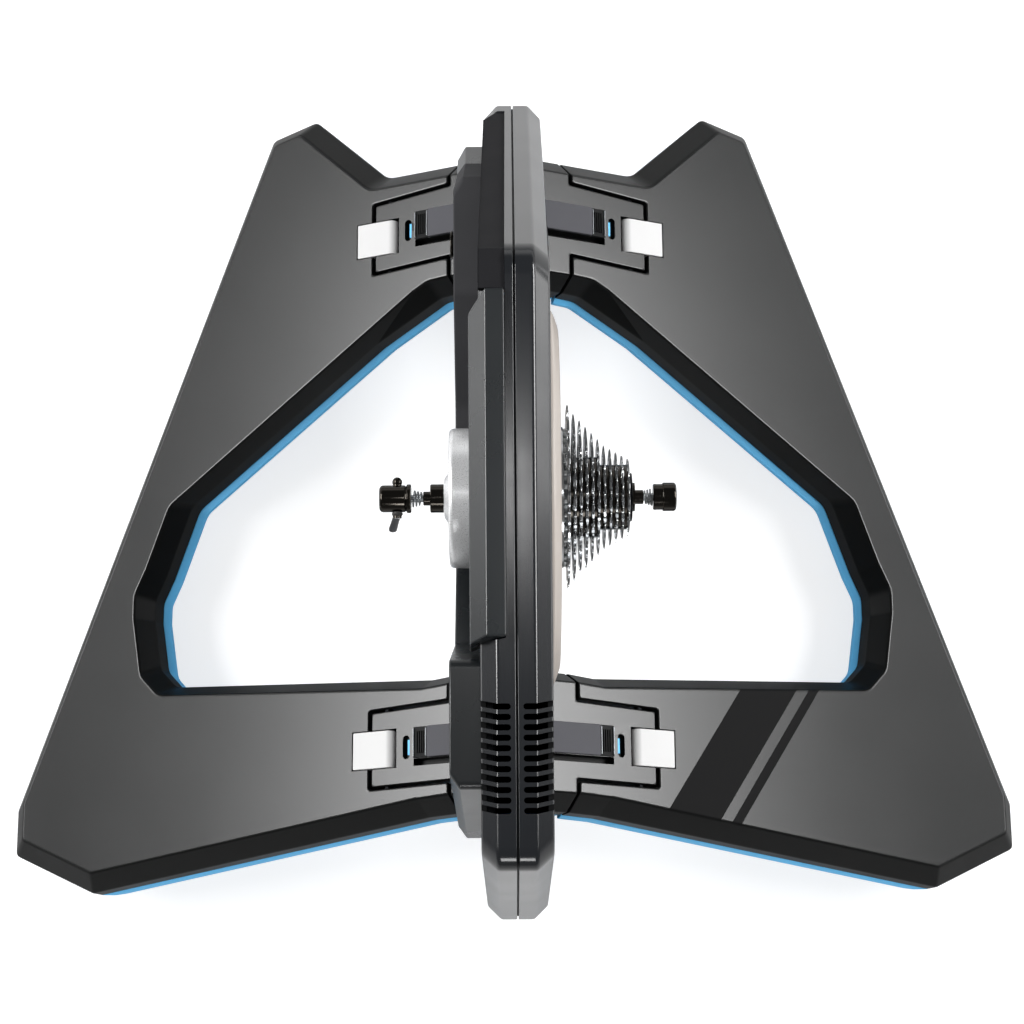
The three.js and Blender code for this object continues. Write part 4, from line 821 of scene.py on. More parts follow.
# %% The fixed arms
KNUCKLE, SWING, NOSE_STEPS, PAST_ARM = 11.5, 10.0, 12, 60
SLOT_REACH, SLOT_LENGTH, SLOT_CORNER, SLOT_DEPTH = 16.2, 16.6, 2.7, 4.6
GROOVE_INNER, GROOVE_REAR, GROOVE_DEPTH, CAP_REAR, CAP_OUTER = -80, -13.5, 9, -8.2, -22
CLEAR = 20  # above everything on an arm
PAST_END, CAP_GAP, SEAM_MARGIN = 3, 0.2, 0.5


def slot_outline(y, steps=8):
    """A slot with round ends along y, drawn in the leg's frame."""
    points, straight = [], SLOT_LENGTH / 2 - SLOT_CORNER
    for sign in (1, -1):
        for turn in [math.pi * step / steps for step in range(steps + 1)]:
            across, along = SLOT_CORNER * math.cos(turn), SLOT_CORNER * math.sin(turn)
            points.append((-SLOT_REACH + sign * across, y + sign * (straight + along)))
    return points


def nose_tool(y, place):
    """What is cut off the tongue's end to leave it round."""
    turn = [math.pi / 2 - math.pi * k / (2 * NOSE_STEPS) for k in range(NOSE_STEPS + 1)]
    corner = [(KNUCKLE * math.cos(a), KNUCKLE * math.sin(a)) for a in turn]
    corner += [(TONGUE_END + PAST_END, 0), (TONGUE_END + PAST_END, CLEAR), (0, CLEAR)]
    rings = [[(x, end, z) for x, z in corner] for end in (y - PAST_ARM, y + PAST_ARM)]
    return piece("knuckle tool", *skin(rings), place=place)


def half_arm(side, end):
    """One arm from the casing's middle plane to its tongue."""
    arm, place = ARMS[end], leg_place(side)
    kinds = [arm["kinds"][0], "seam", "notch", "notch", "notch", "seam", arm["kinds"][1], "seam"]

    def pick(centre, normal):
        blue = centre.z < BAND_FOOT - FIT and centre.x < ARM_SEAM_X - SEAM_MARGIN
        return 2 if blue else flat_top(centre, normal)

    vertices, faces = skin(stacked(arm_outline(arm), ARM_RADII, arm_levels(kinds)))
    name, colours = side + "_" + end + "_arm", [WALL_ABS, LEG_LACQUER, BLUE_ABS]
    body = piece(name, vertices, faces, colours, place=place, pick=pick)
    y, slot_y, latch_y = arm["end"], arm["slot"], LATCH_CENTRES[end]
    rear, front = latch_y - LATCH_HALF, latch_y + LATCH_HALF
    slot = [[(x, along, z) for x, along in slot_outline(slot_y)] for z in (TOP - SLOT_DEPTH, TOP + OVER)]
    groove_low = (GROOVE_INNER, slot_y + GROOVE_REAR, TOP - GROOVE_DEPTH)
    groove_high = (CAP_OUTER, slot_y + CAP_REAR - CAP_GAP, TOP + OVER + 1)
    carve(
        body,
        nose_tool(y, place),
        along_pin("swing tool", 0, 0, SWING, rear, front, place, 32),
        block("pocket tool", (0, rear, -SWING), (TONGUE_END + PAST_END, front, CLEAR), place),
        along_pin("pin tool", 0, 0, PIN_RADIUS, y - PAST_ARM, y + PAST_ARM, place),
        piece("slot tool", *skin(slot), place=place),
        block("groove tool", groove_low, groove_high, place),
    )
    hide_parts(end + "_cross_arm")
    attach(body, "casing")
    return body


for side in SIDES:
    for end in ARMS:
        print(side, end, "arm has", len(half_arm(side, end).data.polygons), "faces")

# %% [markdown]
# ## Node trees for rows and rings
# The trainer repeats many things: ribs, vents, bolts, teeth, ridges. Each could be copied in a Python
# loop, but a geometry tree does it once for all, with the count and the step as inputs. One tree
# copies a mesh in a row, and one round the axle. Both end with real copies, because instances don't
# survive the export.

# %% Trees for rows and rings


def new_tree(name, inputs):
    """A geometry tree with named inputs: (tree, its input node, its output node)."""
    tree = bpy.data.node_groups.new(name, "GeometryNodeTree")
    for label, kind in {"Geometry": "Geometry", **inputs}.items():
        tree.interface.new_socket(label, in_out="INPUT", socket_type="NodeSocket" + kind)
    tree.interface.new_socket("Geometry", in_out="OUTPUT", socket_type="NodeSocketGeometry")
    return tree, tree.nodes.new("NodeGroupInput"), tree.nodes.new("NodeGroupOutput")


def end_tree(tree, given, result, geometry):
    """Closes a tree: real copies, one material, joined to what the object already holds."""
    real = add_node(tree, "GeometryNodeRealizeInstances", inputs={"Geometry": geometry})
    painted = {"Geometry": real, "Material": given.outputs["Material"]}
    painted = add_node(tree, "GeometryNodeSetMaterial", inputs=painted)
    both = tree.nodes.new("GeometryNodeJoinGeometry")
    tree.links.new(painted.outputs[0], both.inputs[0])
    tree.links.new(given.outputs["Geometry"], both.inputs[0])
    tree.links.new(both.outputs[0], result.inputs[0])
    return tree


def copies_at(tree, given, points, **more):
    """The object given as Copy, once on each point."""
    copy = add_node(tree, "GeometryNodeObjectInfo", inputs={"Object": given.outputs["Copy"]})
    places = {"Points": points, "Instance": copy.outputs["Geometry"], **more}
    return add_node(tree, "GeometryNodeInstanceOnPoints", inputs=places)


def row_tree():
    """Count copies, from First on by Step each."""
    inputs = {"Copy": "Object", "Count": "Int", "First": "Vector", "Step": "Vector", "Material": "Material"}
    tree, given, result = new_tree("row of copies", inputs)
    ends = {"Count": "Count", "Start Location": "First", "Offset": "Step"}
    ends = {socket: given.outputs[label] for socket, label in ends.items()}
    line = add_node(tree, "GeometryNodeMeshLine", inputs=ends)
    return end_tree(tree, given, result, copies_at(tree, given, line))


def ring_tree():
    """Count copies turned evenly about an axis along x through Centre, the first one by Phase."""
    inputs = {
        "Copy": "Object",
        "Count": "Int",
        "Centre": "Vector",
        "Phase": "Float",
        "Material": "Material",
    }
    tree, given, result = new_tree("ring of copies", inputs)
    stack = {"Count": given.outputs["Count"], "Start Location": given.outputs["Centre"]}
    line = add_node(tree, "GeometryNodeMeshLine", inputs={**stack, "Offset": (0, 0, 0)})
    index = add_node(tree, "GeometryNodeInputIndex")
    parts = {0: index, 1: given.outputs["Count"]}
    share = add_node(tree, "ShaderNodeMath", {"operation": "DIVIDE"}, parts)
    radians = {0: share, 1: 2 * math.pi, 2: given.outputs["Phase"]}
    turn = add_node(tree, "ShaderNodeMath", {"operation": "MULTIPLY_ADD"}, radians)
    angles = add_node(tree, "ShaderNodeCombineXYZ", inputs={"X": turn})
    return end_tree(tree, given, result, copies_at(tree, given, line, Rotation=angles))


def grow(thing, tree, sharp=SHARP, **values):
    """Runs a tree on a piece with its inputs set by name, and keeps the result as a plain mesh."""
    names = {item.name: item.identifier for item in tree.interface.items_tree if item.in_out == "INPUT"}
    made = thing.modifiers.new(tree.name, "NODES")
    made.node_group = tree
    for label, value in values.items():
        made[names[label.replace("_", " ")]] = value
    apply_modifiers(thing)
    if "Copy" in values:
        bpy.data.objects.remove(values["Copy"])
    return dress(thing, sharp)


ROW, RING = row_tree(), ring_tree()
print("node trees:", [tree.name for tree in bpy.data.node_groups])

# %% [markdown]
# ## Caps on the arms
# On each arm lies a grey cap, and at its outer end a small window with ribs between two lips. The
# window's base is black as painted shade of a recess, and the lips are pale zinc as a painted highlight
# on their edges. They could be cut into the arm, but plates of their own have clean edges and their own
# finish. The ribs stand at one pitch, so the row tree sets them.

# %% Arm caps
CAP_INNER, CAP_MIDDLE, CAP_HEIGHT, CAP_FRONT = -73.3, -33, 2.2, 13.5
WINDOW_HEIGHT, LIP_WIDTH, LIP_HEIGHT, LIP_INSET, OUTER_LIP = 0.9, 0.9, 1.3, 1, 1.3
RIB_COUNT, RIB_PITCH, RIB_WIDTH, RIB_LONG, RIB_HEIGHT, FIRST_RIB = 4, 1.7, 0.8, 15.5, 1.1, 2.2


def flat_plate(name, xs, ys, z0, height, material, place, rounding=0.5, corner=0.8):
    """A thin plate in a leg's frame with its upper edges rounded."""
    outline = [(xs[0], ys[0]), (xs[1], ys[0]), (xs[1], ys[1]), (xs[0], ys[1])]
    levels = [
        (z0, [-0.2] * 4),
        (z0 + 0.2, [0] * 4),
        (z0 + height - rounding, [0] * 4),
        (z0 + height - 0.3 * rounding, [-0.3 * rounding] * 4),
        (z0 + height, [-rounding] * 4),
    ]
    return piece(name, *skin(stacked(outline, [corner] * 4, levels)), [material], place=place)


def arm_cap(side, end):
    """The cap, its window's base, two lips and the ribs between them."""
    y, place, name, low = ARMS[end]["slot"], leg_place(side), side + "_" + end, TOP + FIT
    ys, high = (y + CAP_REAR, y + CAP_FRONT), low + WINDOW_HEIGHT
    window, short = CAP_MIDDLE + CAP_GAP, (ys[0] + LIP_INSET, ys[1] - LIP_INSET)
    grey = flat_plate(name + "_cap", (CAP_INNER, CAP_MIDDLE), ys, low, CAP_HEIGHT, ARM_CAP_ABS, place)
    # the window's base is black: painted shade where a recess would be dark
    base = flat_plate(
        name + "_cap_window", (window, CAP_OUTER), ys, low, WINDOW_HEIGHT, RECESS_SHADE_ABS, place, 0.3
    )
    parts = [grey, base]
    # the lips are pale zinc: a painted highlight on plastic edges that catch the light
    for label, x in (("_cap_inner_lip", window), ("_cap_outer_lip", CAP_OUTER - OUTER_LIP)):
        lip = flat_plate(name + label, (x, x + LIP_WIDTH), short, high, LIP_HEIGHT, ZINC_STEEL_AND_LIP_HIGHLIGHT, place, 0.4)
        parts.append(lip)
    long = (-RIB_LONG / 2, RIB_LONG / 2)
    rib = flat_plate("rib", (0, RIB_WIDTH), long, 0, RIB_HEIGHT, WALL_ABS, None, 0.3, 0.3)
    ribs = piece(name + "_cap_ribs", [], [], [BLACK_CHROME])
    first = Vector((CAP_MIDDLE + FIRST_RIB, (ys[0] + ys[1]) / 2, high)) * MM
    grow(ribs, ROW, Copy=rib, Count=RIB_COUNT, First=first, Step=(RIB_PITCH * MM, 0, 0), Material=WALL_ABS)
    ribs.data.transform(place)
    if place.determinant() < 0:
        ribs.data.flip_normals()
    for part in (*parts, ribs):
        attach(part, "casing")
    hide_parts(name + "_arm_cap")


print("a cap is", round(CAP_MIDDLE - CAP_INNER, 1), "mm long, with", RIB_COUNT, "ribs beside it")

# %% [markdown]
# ## Latches and lock marks
# A latch is a plate that lies on the leg and curls down round the hinge pin. It tilts on a spindle
# when pressed, and a hook under it locks the leg. A flat box with a bevel would miss the curl, which
# catches the light as a bright line, so the plate is a profile drawn from the side and stacked along
# the pin, with its two ends drawn in. The small mark in each arm's slot is a CAD solid with softened
# edges.

# %% Latches and lock marks
LATCH_TOP, LATCH_THICK, LATCH_END, LATCH_SIDE, CURL_STEPS = 5.4, 2.1, 25.2, 13, 10
LATCH_EDGE = ((0, 0.5), (0.15, 0.15), (0.6, 0))  # distance from a side, and how far it is drawn in
PIVOT_OUT, PIVOT_HEIGHT, PIVOT_REACH, PIVOT_RADIUS = 20, 0.5, 16, 1.3
HOOK, HOOK_FOOT, KNUCKLE_SIDE, MARK_EDGE_MM = (14, 17), -3.6, 12, 0.2


def arm_latch(side, end):
    """The curled plate with its hook, spindle and the knuckle between them."""
    y, place, name = LATCH_CENTRES[end], leg_place(side), side + "_" + end
    curl = [math.pi / 2 + math.pi / 2 * k / CURL_STEPS for k in range(CURL_STEPS + 1)]
    inside = LATCH_TOP - LATCH_THICK
    outline = [(LATCH_END, inside), (LATCH_END, LATCH_TOP)]
    outline += [(LATCH_TOP * math.cos(a), LATCH_TOP * math.sin(a)) for a in curl]
    outline += [(inside * math.cos(a), inside * math.sin(a)) for a in reversed(curl)]
    ends = [(inward - LATCH_SIDE, inset) for inward, inset in LATCH_EDGE]
    ends += [(-across, inset) for across, inset in reversed(ends)]
    rings = [[(x, y + across, z) for x, z in moved(outline, -inset)] for across, inset in ends]
    plate = piece(name + "_latch_plate", *skin(rings), [SILVER_COAT], place=place)
    low, high = (HOOK[0], y - LATCH_SIDE, HOOK_FOOT), (HOOK[1], y + LATCH_SIDE, inside + 0.2)
    hook = block(name + "_latch_hook", low, high, place, [SILVER_COAT])
    ends = (y - PIVOT_REACH, y + PIVOT_REACH)
    spindle = along_pin(name + "_latch_spindle", PIVOT_OUT, PIVOT_HEIGHT, PIVOT_RADIUS, *ends, place)
    spindle.data.materials.append(ZINC_STEEL_AND_LIP_HIGHLIGHT)
    low = (PIVOT_OUT - 1, y - KNUCKLE_SIDE, PIVOT_HEIGHT)
    high = (PIVOT_OUT + 1, y + KNUCKLE_SIDE, inside + 0.2)
    knuckle = block(name + "_latch_knuckle", low, high, place, [SILVER_COAT])
    for part in (plate, hook, spindle, knuckle):
        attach(part, name + "_latch")
    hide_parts(name + "_latch")


for side in SIDES:
    for end in ARMS:
        arm_cap(side, end)
        arm_latch(side, end)
        name = side + "_" + end
        rounded_copy(name + "_lock_tab", name + "_lock_mark", MARK_EDGE_MM, BLUE_ABS, "casing")
print("caps, latches and lock marks on", len(SIDES) * len(ARMS), "arms")

# %% [markdown]
# ## The casing's two half shells
# The casing is two mouldings that meet at a seam. In profile it is one outline, from the nose over
# the long front slope to the crown and down the steep tail. A half could be extruded and bevelled, but
# its bevel is flat with a small rounding on either side. So the outline is stacked outwards from the
# seam instead: straight across the crown, then down over the bevel to the flat side, and back inside.
# One half has a tongue along the seam and the other a groove, which makes the seam a dark line; the faces
# in the gap are also painted black as shade.

# %% The shells' rings
SEAM, SHELL_HALF, CROWN_HALF, BEVEL_DEPTH, SHELL_WALL = 2, 20.2, 11, 9.0, 3
BEVEL_BACK, GAP_HALF, GAP_DEPTH, CROWN_WALL, PROFILE_STEPS = 1.6, 0.5, 0.6, 1.5, 6
TONGUE_FOOT, TONGUE_REACH, GROOVE_FOOT, GROOVE_REACH = 2.2, 1.2, 1.9, 2.1
# y from the profile's middle, height, and the corner's radius
PROFILE = [
    (287.5, 150, 10),
    (102, 547.5, 22),
    (-240, 541.5, 14),
    (-287.5, 225, 14),
    (-260.5, 150, 12),
    (-190, 110, 10),
    (205, 110, 10),
    (271.5, 118, 8),
]
PROFILE_OUTLINE, PROFILE_RADII = [(y, z) for y, z, _ in PROFILE], [r for _, _, r in PROFILE]


def shell_ring(sign, out, inset):
    """The profile moved in, at a distance from the seam on one side."""
    ring = rounded(moved(PROFILE_OUTLINE, -inset), PROFILE_RADII, PROFILE_STEPS)
    return [(SEAM + sign * out, y - CASING_BACK, z) for y, z in ring]


def half_shell(name, sign, material):
    """A hollow half: sign is 1 for the right one, with the tongue, and -1 for the left one."""
    slope = math.atan2(BEVEL_DEPTH, SHELL_HALF - CROWN_HALF)
    across, down = BEVEL_BACK * math.cos(slope), BEVEL_BACK * math.sin(slope)
    crown, side = (CROWN_HALF, 0), (SHELL_HALF, BEVEL_DEPTH)
    below = BEVEL_DEPTH + BEVEL_BACK
    outer = [
        *fillet((GAP_HALF, GAP_DEPTH), (GAP_HALF, 0), (GAP_HALF + GAP_DEPTH, 0), 3),
        *fillet((CROWN_HALF - BEVEL_BACK, 0), crown, (CROWN_HALF + across, down)),
        *fillet((SHELL_HALF - across, BEVEL_DEPTH - down), side, (SHELL_HALF, below)),
        (SHELL_HALF, below + 1),
    ]
    tongue = [(GAP_HALF, TONGUE_FOOT), (-TONGUE_REACH, TONGUE_FOOT), (-TONGUE_REACH, SHELL_WALL)]
    groove = [(GAP_HALF, GROOVE_FOOT), (GROOVE_REACH, GROOVE_FOOT), (GROOVE_REACH, SHELL_WALL)]
    inner = [
        *(tongue if sign > 0 else groove),
        (CROWN_HALF - CROWN_WALL, SHELL_WALL),
        (SHELL_HALF - SHELL_WALL, BEVEL_DEPTH + SHELL_WALL),
    ]
    rings = [shell_ring(sign, out, inset) for out, inset in [*reversed(outer), *inner]]

    # faces in the seam's gap get the black: painted shade
    def pick(centre, normal):
        return 1 if abs(centre.x - SEAM) < GAP_HALF - 0.01 else 0

    return piece(name, *skin(rings), [material, RECESS_SHADE_ABS], pick=pick)


print("the casing's profile has", len(PROFILE), "corners")

# %% [markdown]
# ## Turned pieces and vents
# Everything round the axle is a profile turned about it, so one function spins a list of distances and
# radii. The vents are slots with round ends that run from the crown down over the bevel. A slot can't
# be copied as a hole, so the row tree makes a comb of cutters, and one cut takes them all out.

# %% A lathe and the vents' cutter
VENTS = dict(count=11, pitch=5.7, width=3.4, first=-151.5, low=522, inner=3.4, slant=0.2)
ABOVE_CASING, PAST_SIDE, VENT_STEPS = 560, 2, 6


def lathe(name, profile, materials=(), body=None, segments=64, closed=True, centre=None):
    """A profile of (x, radius) pairs in mm turned about the axle."""
    x0, y0, z0 = centre or (0, AXLE.y / MM, AXLE.z / MM)
    turn, rings = full_turn(segments), []
    for x, radius in profile:
        rings.append([(x0 + x, y0 + radius * math.cos(a), z0 + radius * math.sin(a)) for a in turn])
    vertices, faces = skin(rings, False, False)
    if closed:
        last = (len(profile) - 1) * segments
        faces += [(last + k, last + (k + 1) % segments, (k + 1) % segments, k) for k in range(segments)]
    return piece(name, vertices, faces, materials, body)


def solid_rod(name, x0, x1, radius, segments=64, centre=None):
    """A solid round bar along x, to cut with or to copy."""
    profile = [(x0, 0), (x0, radius), (x1, radius), (x1, 0)]
    return lathe(name, profile, segments=segments, closed=False, centre=centre)


def vent_cutter(name, sign):
    """A row of round-ended slots that reach from the crown down over one side's bevel."""
    half, outside = VENTS["width"] / 2, SHELL_HALF + PAST_SIDE
    inner, edge, outer = (SEAM + sign * out for out in (VENTS["inner"], CROWN_HALF, outside))
    rise = VENTS["slant"] * (outside - CROWN_HALF)
    section = []
    for angle in [math.pi / 2 + math.pi * k / VENT_STEPS for k in range(VENT_STEPS + 1)]:
        section.append((inner + sign * (half + half * math.cos(angle)), half * math.sin(angle)))
    section += [(edge, -half), (outer, rise - half), (outer, rise + half), (edge, half)]
    rings = [[(x, y, z) for x, y in section] for z in (VENTS["low"], ABOVE_CASING)]
    slot = piece("one vent", *skin(rings))
    first, step = (0, (VENTS["first"] - CASING_BACK) * MM, 0), (0, -VENTS["pitch"] * MM, 0)
    row = piece(name, [], [], [WALL_ABS])
    return grow(row, ROW, Copy=slot, Count=VENTS["count"], First=first, Step=step, Material=WALL_ABS)


print(VENTS["count"], "vents,", VENTS["pitch"], "mm apart")

# %% [markdown]
# ## Seats in the left half
# The left half has shallow seats for a raised cover on its upper edge and a matte strip on its front
# slope. The covers' ends are cut aslant, so each section of a seat is shifted point by point before
# the sections are joined.

# %% Both half shells, cut
COVER_INNER, COVER_CREASE, COVER_OUTER, COVER_SKIRT, COVER_TOP = -3.6, -14.4, -23.8, -25.2, 550
COVER_FRONT, COVER_REAR, COVER_FOOT, COVER_LEDGE = 80, -113.4, 446, 531.5
FRONT_SLANT, REAR_SLANT = -1.35, -0.45
STRIP_FOOT, STRIP_CUT_FROM, STRIP_CUT_RISE = 172, -10.5, 3
HUB_BORE, AXLE_BORE = 28.6, 8.3
# where the tools for the bores start and end, past the side walls that they cut
THROUGH_RIGHT, THROUGH_LEFT = (15, 30), (-30, 0)


def slanted(section, y, slant):
    """A section square to y whose points outside the crest are shifted along y."""
    return [(x, y - CASING_BACK + max(0.0, COVER_CREASE - x) * slant, z) for x, z in section]


def slope_point(height, sink):
    """A point that lies a little below the front slope of the profile."""
    (low_y, low, _), (high_y, high, _) = PROFILE[:2]
    return (low_y + (high_y - low_y) * (height - low) / (high - low) - sink, height)


def cover_foot(x):
    """The height at which the matte strip ends: its outer corner is cut off."""
    return STRIP_FOOT + STRIP_CUT_RISE * max(0.0, STRIP_CUT_FROM - x)


def side_cover_seat():
    """What the raised cover takes out of the left half."""
    inner, outer = COVER_INNER + FIT, COVER_SKIRT - FIT
    seat = [(outer, COVER_FOOT - FIT), (-17, COVER_FOOT - FIT), (-17, COVER_LEDGE)]
    seat += [(inner, 544.2), (inner, ABOVE_CASING), (outer, ABOVE_CASING)]
    places = ((-114, REAR_SLANT), (-80, 0), (50, 0), (80.6, FRONT_SLANT))
    return piece("side cover seat", *skin([slanted(seat, y, slant) for y, slant in places]))


def front_cover_seat():
    """What the matte strip takes out of the left half."""
    rings = []
    for x in (-22, STRIP_CUT_FROM, COVER_INNER + FIT):
        foot = cover_foot(x) - 0.5
        strip = [slope_point(foot, 9), slope_point(foot, -6), (slope_point(COVER_TOP, 0)[0], ABOVE_CASING)]
        strip += [(80.3, ABOVE_CASING), (80.3, 538.6), slope_point(538.6, 9)]
        rings.append([(x, y - CASING_BACK, z) for y, z in strip])
    return piece("front cover seat", *skin(rings))


right_shell = half_shell("right_half_shell", 1, CHARCOAL_ABS)
carve(right_shell, vent_cutter("right vents tool", 1), solid_rod("hub tool", *THROUGH_RIGHT, HUB_BORE))
left_shell = half_shell("left_half_shell", -1, CHARCOAL_ABS)
axle_hole = solid_rod("axle tool", *THROUGH_LEFT, AXLE_BORE)
carve(left_shell, vent_cutter("left vents tool", -1), axle_hole, side_cover_seat())
carve(left_shell, front_cover_seat())
for shell in (right_shell, left_shell):
    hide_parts(shell.name.replace("_half", ""))
    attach(shell, "casing")
    print(shell.name, "has", len(shell.data.polygons), "faces")

# %% [markdown]
# ## The covers on the left side
# The raised cover is a bent plate with a crest: its section is drawn once and joined from end to end,
# slanted like its seat, with the ends drawn in by steps that round them. The matte strip is drawn as
# a line parallel to the front slope. Both are mouldings of their own on the real casing, so the seams
# round them are real gaps and not lines in a material.

# %% The raised cover and the matte strip
COVER_SECTION = [
    (COVER_SKIRT, COVER_FOOT),
    (-18.5, COVER_FOOT),
    (-18.5, COVER_LEDGE),
    (COVER_INNER, 544.5),
    (COVER_INNER, COVER_TOP),
    (COVER_CREASE, COVER_TOP - 0.8),
    (COVER_OUTER, COVER_TOP - 10.3),
]
COVER_RADII = [1.5, 0.4, 0.4, 0.4, 1.0, 2.0, 2.5]
END_STEPS = ((0, 1.2), (0.4, 0.4), (1.4, 0))  # distance from an end, and how far it is drawn in
STRIP_ENDS = ((-18.2, 0.5), (-17.9, 0.1), (-17.4, 0), (-10.5, 0), (-4.4, 0), (-3.9, 0.1), (-3.6, 0.5))
STRIP_SINK, STRIP_BACK = 1.6, 8.6


def raised_cover():
    """The faceted cover over the upper edge."""
    stations = [(COVER_FRONT - back, inset, FRONT_SLANT) for back, inset in END_STEPS]
    stations += [(COVER_FRONT - 30, 0, 0), (COVER_REAR + 30, 0, 0)]
    stations += [(COVER_REAR + ahead, inset, REAR_SLANT) for ahead, inset in reversed(END_STEPS)]
    rings = []
    for y, inset, slant in stations:
        rings.append(slanted(rounded(moved(COVER_SECTION, -inset), COVER_RADII), y, slant))
    cover = piece("raised_side_cover", *skin(rings), [HOUSING_ABS])
    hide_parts("left_side_cover")
    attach(cover, "casing")


def matte_cover():
    """The strip that follows the front slope, with a chamfered lower outer corner."""
    rings = []
    for x, inset in STRIP_ENDS:
        foot = cover_foot(x)
        line = [slope_point(foot, STRIP_SINK), slope_point(540, STRIP_SINK), (93, 545.4), (80.6, 545.9)]
        back = [(80.6, 538.9), (91, 538.6), slope_point(537, STRIP_BACK), slope_point(foot, STRIP_BACK)]
        rings.append([(x, y - CASING_BACK, z) for y, z in moved(line + back, inset)])
    cover = piece("matte_front_cover", *skin(rings), [MATTE_ABS])
    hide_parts("left_front_cover")
    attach(cover, "casing")


raised_cover()
matte_cover()
print("the raised cover is", COVER_FRONT - COVER_REAR, "mm long")

# %% [markdown]
# ## The housing round the hub
# A low housing covers the lower left side. It is one outline with edges of three kinds: its ends lean
# in as a wide bevel, its upper edge is nearly square and its lower edge is slightly rounded. A list of
# levels says how far each kind is moved at each depth, and holes for the hub and the power inlet are
# cut afterwards.

# %% The housing and the power inlet
HOUSING_SIDE, HOUSING_BACK, HOUSING_STEPS = -36.6, -18.5, 5
# y, height, the kind of edge that starts here, and the corner's radius
HOUSING_POINTS = [
    (-232, 224, "end", 6),
    (-112, 224, "low", 10),
    (-38, 150, "low", 10),
    (228, 152, "end", 6),
    (253, 170, "end", 4),
    (232, 204, "end", 3),
    (196, 318, "top", 10),
    (118, 330, "top", 10),
    (50, 290, "top", 16),
    (-50, 290, "top", 16),
    (-108, 338, "top", 10),
    (-124, 492, "top", 5),
    (-197, 492, "end", 5),
    (-232, 262, "end", 8),
]
HOUSING_LEVELS = [
    (HOUSING_SIDE, {"end": -8.2, "top": -1.0, "low": -2.5}),
    (HOUSING_SIDE + 0.3, {"end": -7.4, "top": -0.35, "low": -1.8}),
    (HOUSING_SIDE + 0.9, {"end": -6.6, "top": 0, "low": -1.0}),
    (HOUSING_SIDE + 5.2, {"end": -0.5, "top": 0, "low": 0}),
    (HOUSING_SIDE + 6.2, {"end": 0, "top": 0, "low": 0}),
    (HOUSING_BACK, {"end": 0, "top": 0, "low": 0}),
]
HUB_HOLE, SOCKET_OVERLAP = 47.5, 0.9
HUB_TOOL, SOCKET_TOOL = (-60, -10), (-60, -26)
LIT_TOP_FROM, LIT_TOP_ABOVE, LIT_TOP_AHEAD = 0.15, 206, -70


def side_housing():
    """The housing, its upward faces in a paler grey as painted light."""
    outline = [(y, z) for y, z, _, _ in HOUSING_POINTS]
    kinds = [kind for _, _, kind, _ in HOUSING_POINTS]
    radii = [radius for *_, radius in HOUSING_POINTS]
    rings = []
    for x, out in HOUSING_LEVELS:
        ring = rounded(moved(outline, [out[kind] for kind in kinds]), radii, HOUSING_STEPS)
        rings.append([(x, y - CASING_BACK, z) for y, z in ring])

    # upward faces get the paler grey: painted light, not a second plastic
    def pick(centre, normal):
        upward = normal.z > LIT_TOP_FROM and centre.z > LIT_TOP_ABOVE and centre.y > LIT_TOP_AHEAD
        return 1 if upward else 0

    housing = piece("side_housing_moulding", *skin(rings), [HOUSING_ABS, HOUSING_LIT_TOP_ABS], pick=pick)
    hub = solid_rod("hub hole tool", *HUB_TOOL, HUB_HOLE, 96)
    low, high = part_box("power_socket")
    middle = (0, (low[1] + high[1]) / 2 / MM, (low[2] + high[2]) / 2 / MM)
    radius = (high[2] - low[2]) / 2 / MM - SOCKET_OVERLAP
    socket = solid_rod("socket hole tool", *SOCKET_TOOL, radius, 32, middle)
    carve(housing, hub, socket)
    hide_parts("left_side_housing")
    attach(housing, "casing")


side_housing()
rounded_copy("power_socket", "power_inlet", 0.5, BLACK_CHROME, "casing")
print("left side: housing and power inlet")

# %% [markdown]
# ## The hub
# The hub cap on the left and the pale disc on the right are turned, so they are profiles spun about
# the axle, with their small chamfers drawn as points: a bevel modifier would round every edge alike.
# The flange behind the cassette carries six bolts and a ring of rivet heads, which the ring tree sets.

# %% Hub cap, cover disc and flange
AXLE_CENTRE = (0, AXLE.y, AXLE.z)
# profiles are (x, radius) in mm
HUB_PROFILE = [
    (-42.9, AXLE_BORE),
    (-42.9, 12.4),
    (-42.5, 13.0),
    (-40.3, 16.6),
    (-39.6, 17.6),
    (-39.4, 36.0),
    (-38.9, 36.4),
    (-38.9, 37.6),
    (-39.6, 38.0),
    (-39.6, 42.0),
    (-39.1, 43.3),
    (-38.0, 44.2),
    (-36.6, 44.5),
    (HOUSING_BACK, 44.5),
    (HOUSING_BACK, AXLE_BORE),
]
hub_cap = lathe("left_hub_turned_cap", HUB_PROFILE, [TURNED_ALUMINIUM], "casing", 128)
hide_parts("left_hub_cap")
DISC_PROFILE = [
    (22.5, HUB_BORE),
    (22.5, 119.0),
    (24.6, 119.0),
    (25.6, 118.4),
    (26.6, 116.6),
    (29.2, 109.5),
    (29.7, 107.0),
    (29.7, 62.0),
    (29.2, 61.4),
    (29.2, HUB_BORE),
]
disc = lathe("drive_side_disc", DISC_PROFILE, [CREAM_LACQUER], "casing", 160)
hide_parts("drive_side_cover")
FLANGE_PROFILE = [(30.2, 8.6), (30.2, 44.6), (30.5, 45), (32.2, 45), (32.5, 44.7), (32.5, 8.6)]
flange = lathe("hub_flange_plate", FLANGE_PROFILE, [NICKEL_STEEL], "rotor", 96)
FLANGE_FACE, BOLT_CIRCLE, RIVET_CIRCLE, BOLTS, RIVETS = 32.4, 36, 42, 6, 30
RIVET_HEIGHT, RIVET_RADIUS, RIVET_PHASE = 1.8, 2.1, 0.05
BOLT = [(32.4, 0), (32.4, 4.4), (33.1, 4.4), (33.4, 4.0), (33.5, 2.1), (32.9, 2.0), (32.9, 0)]
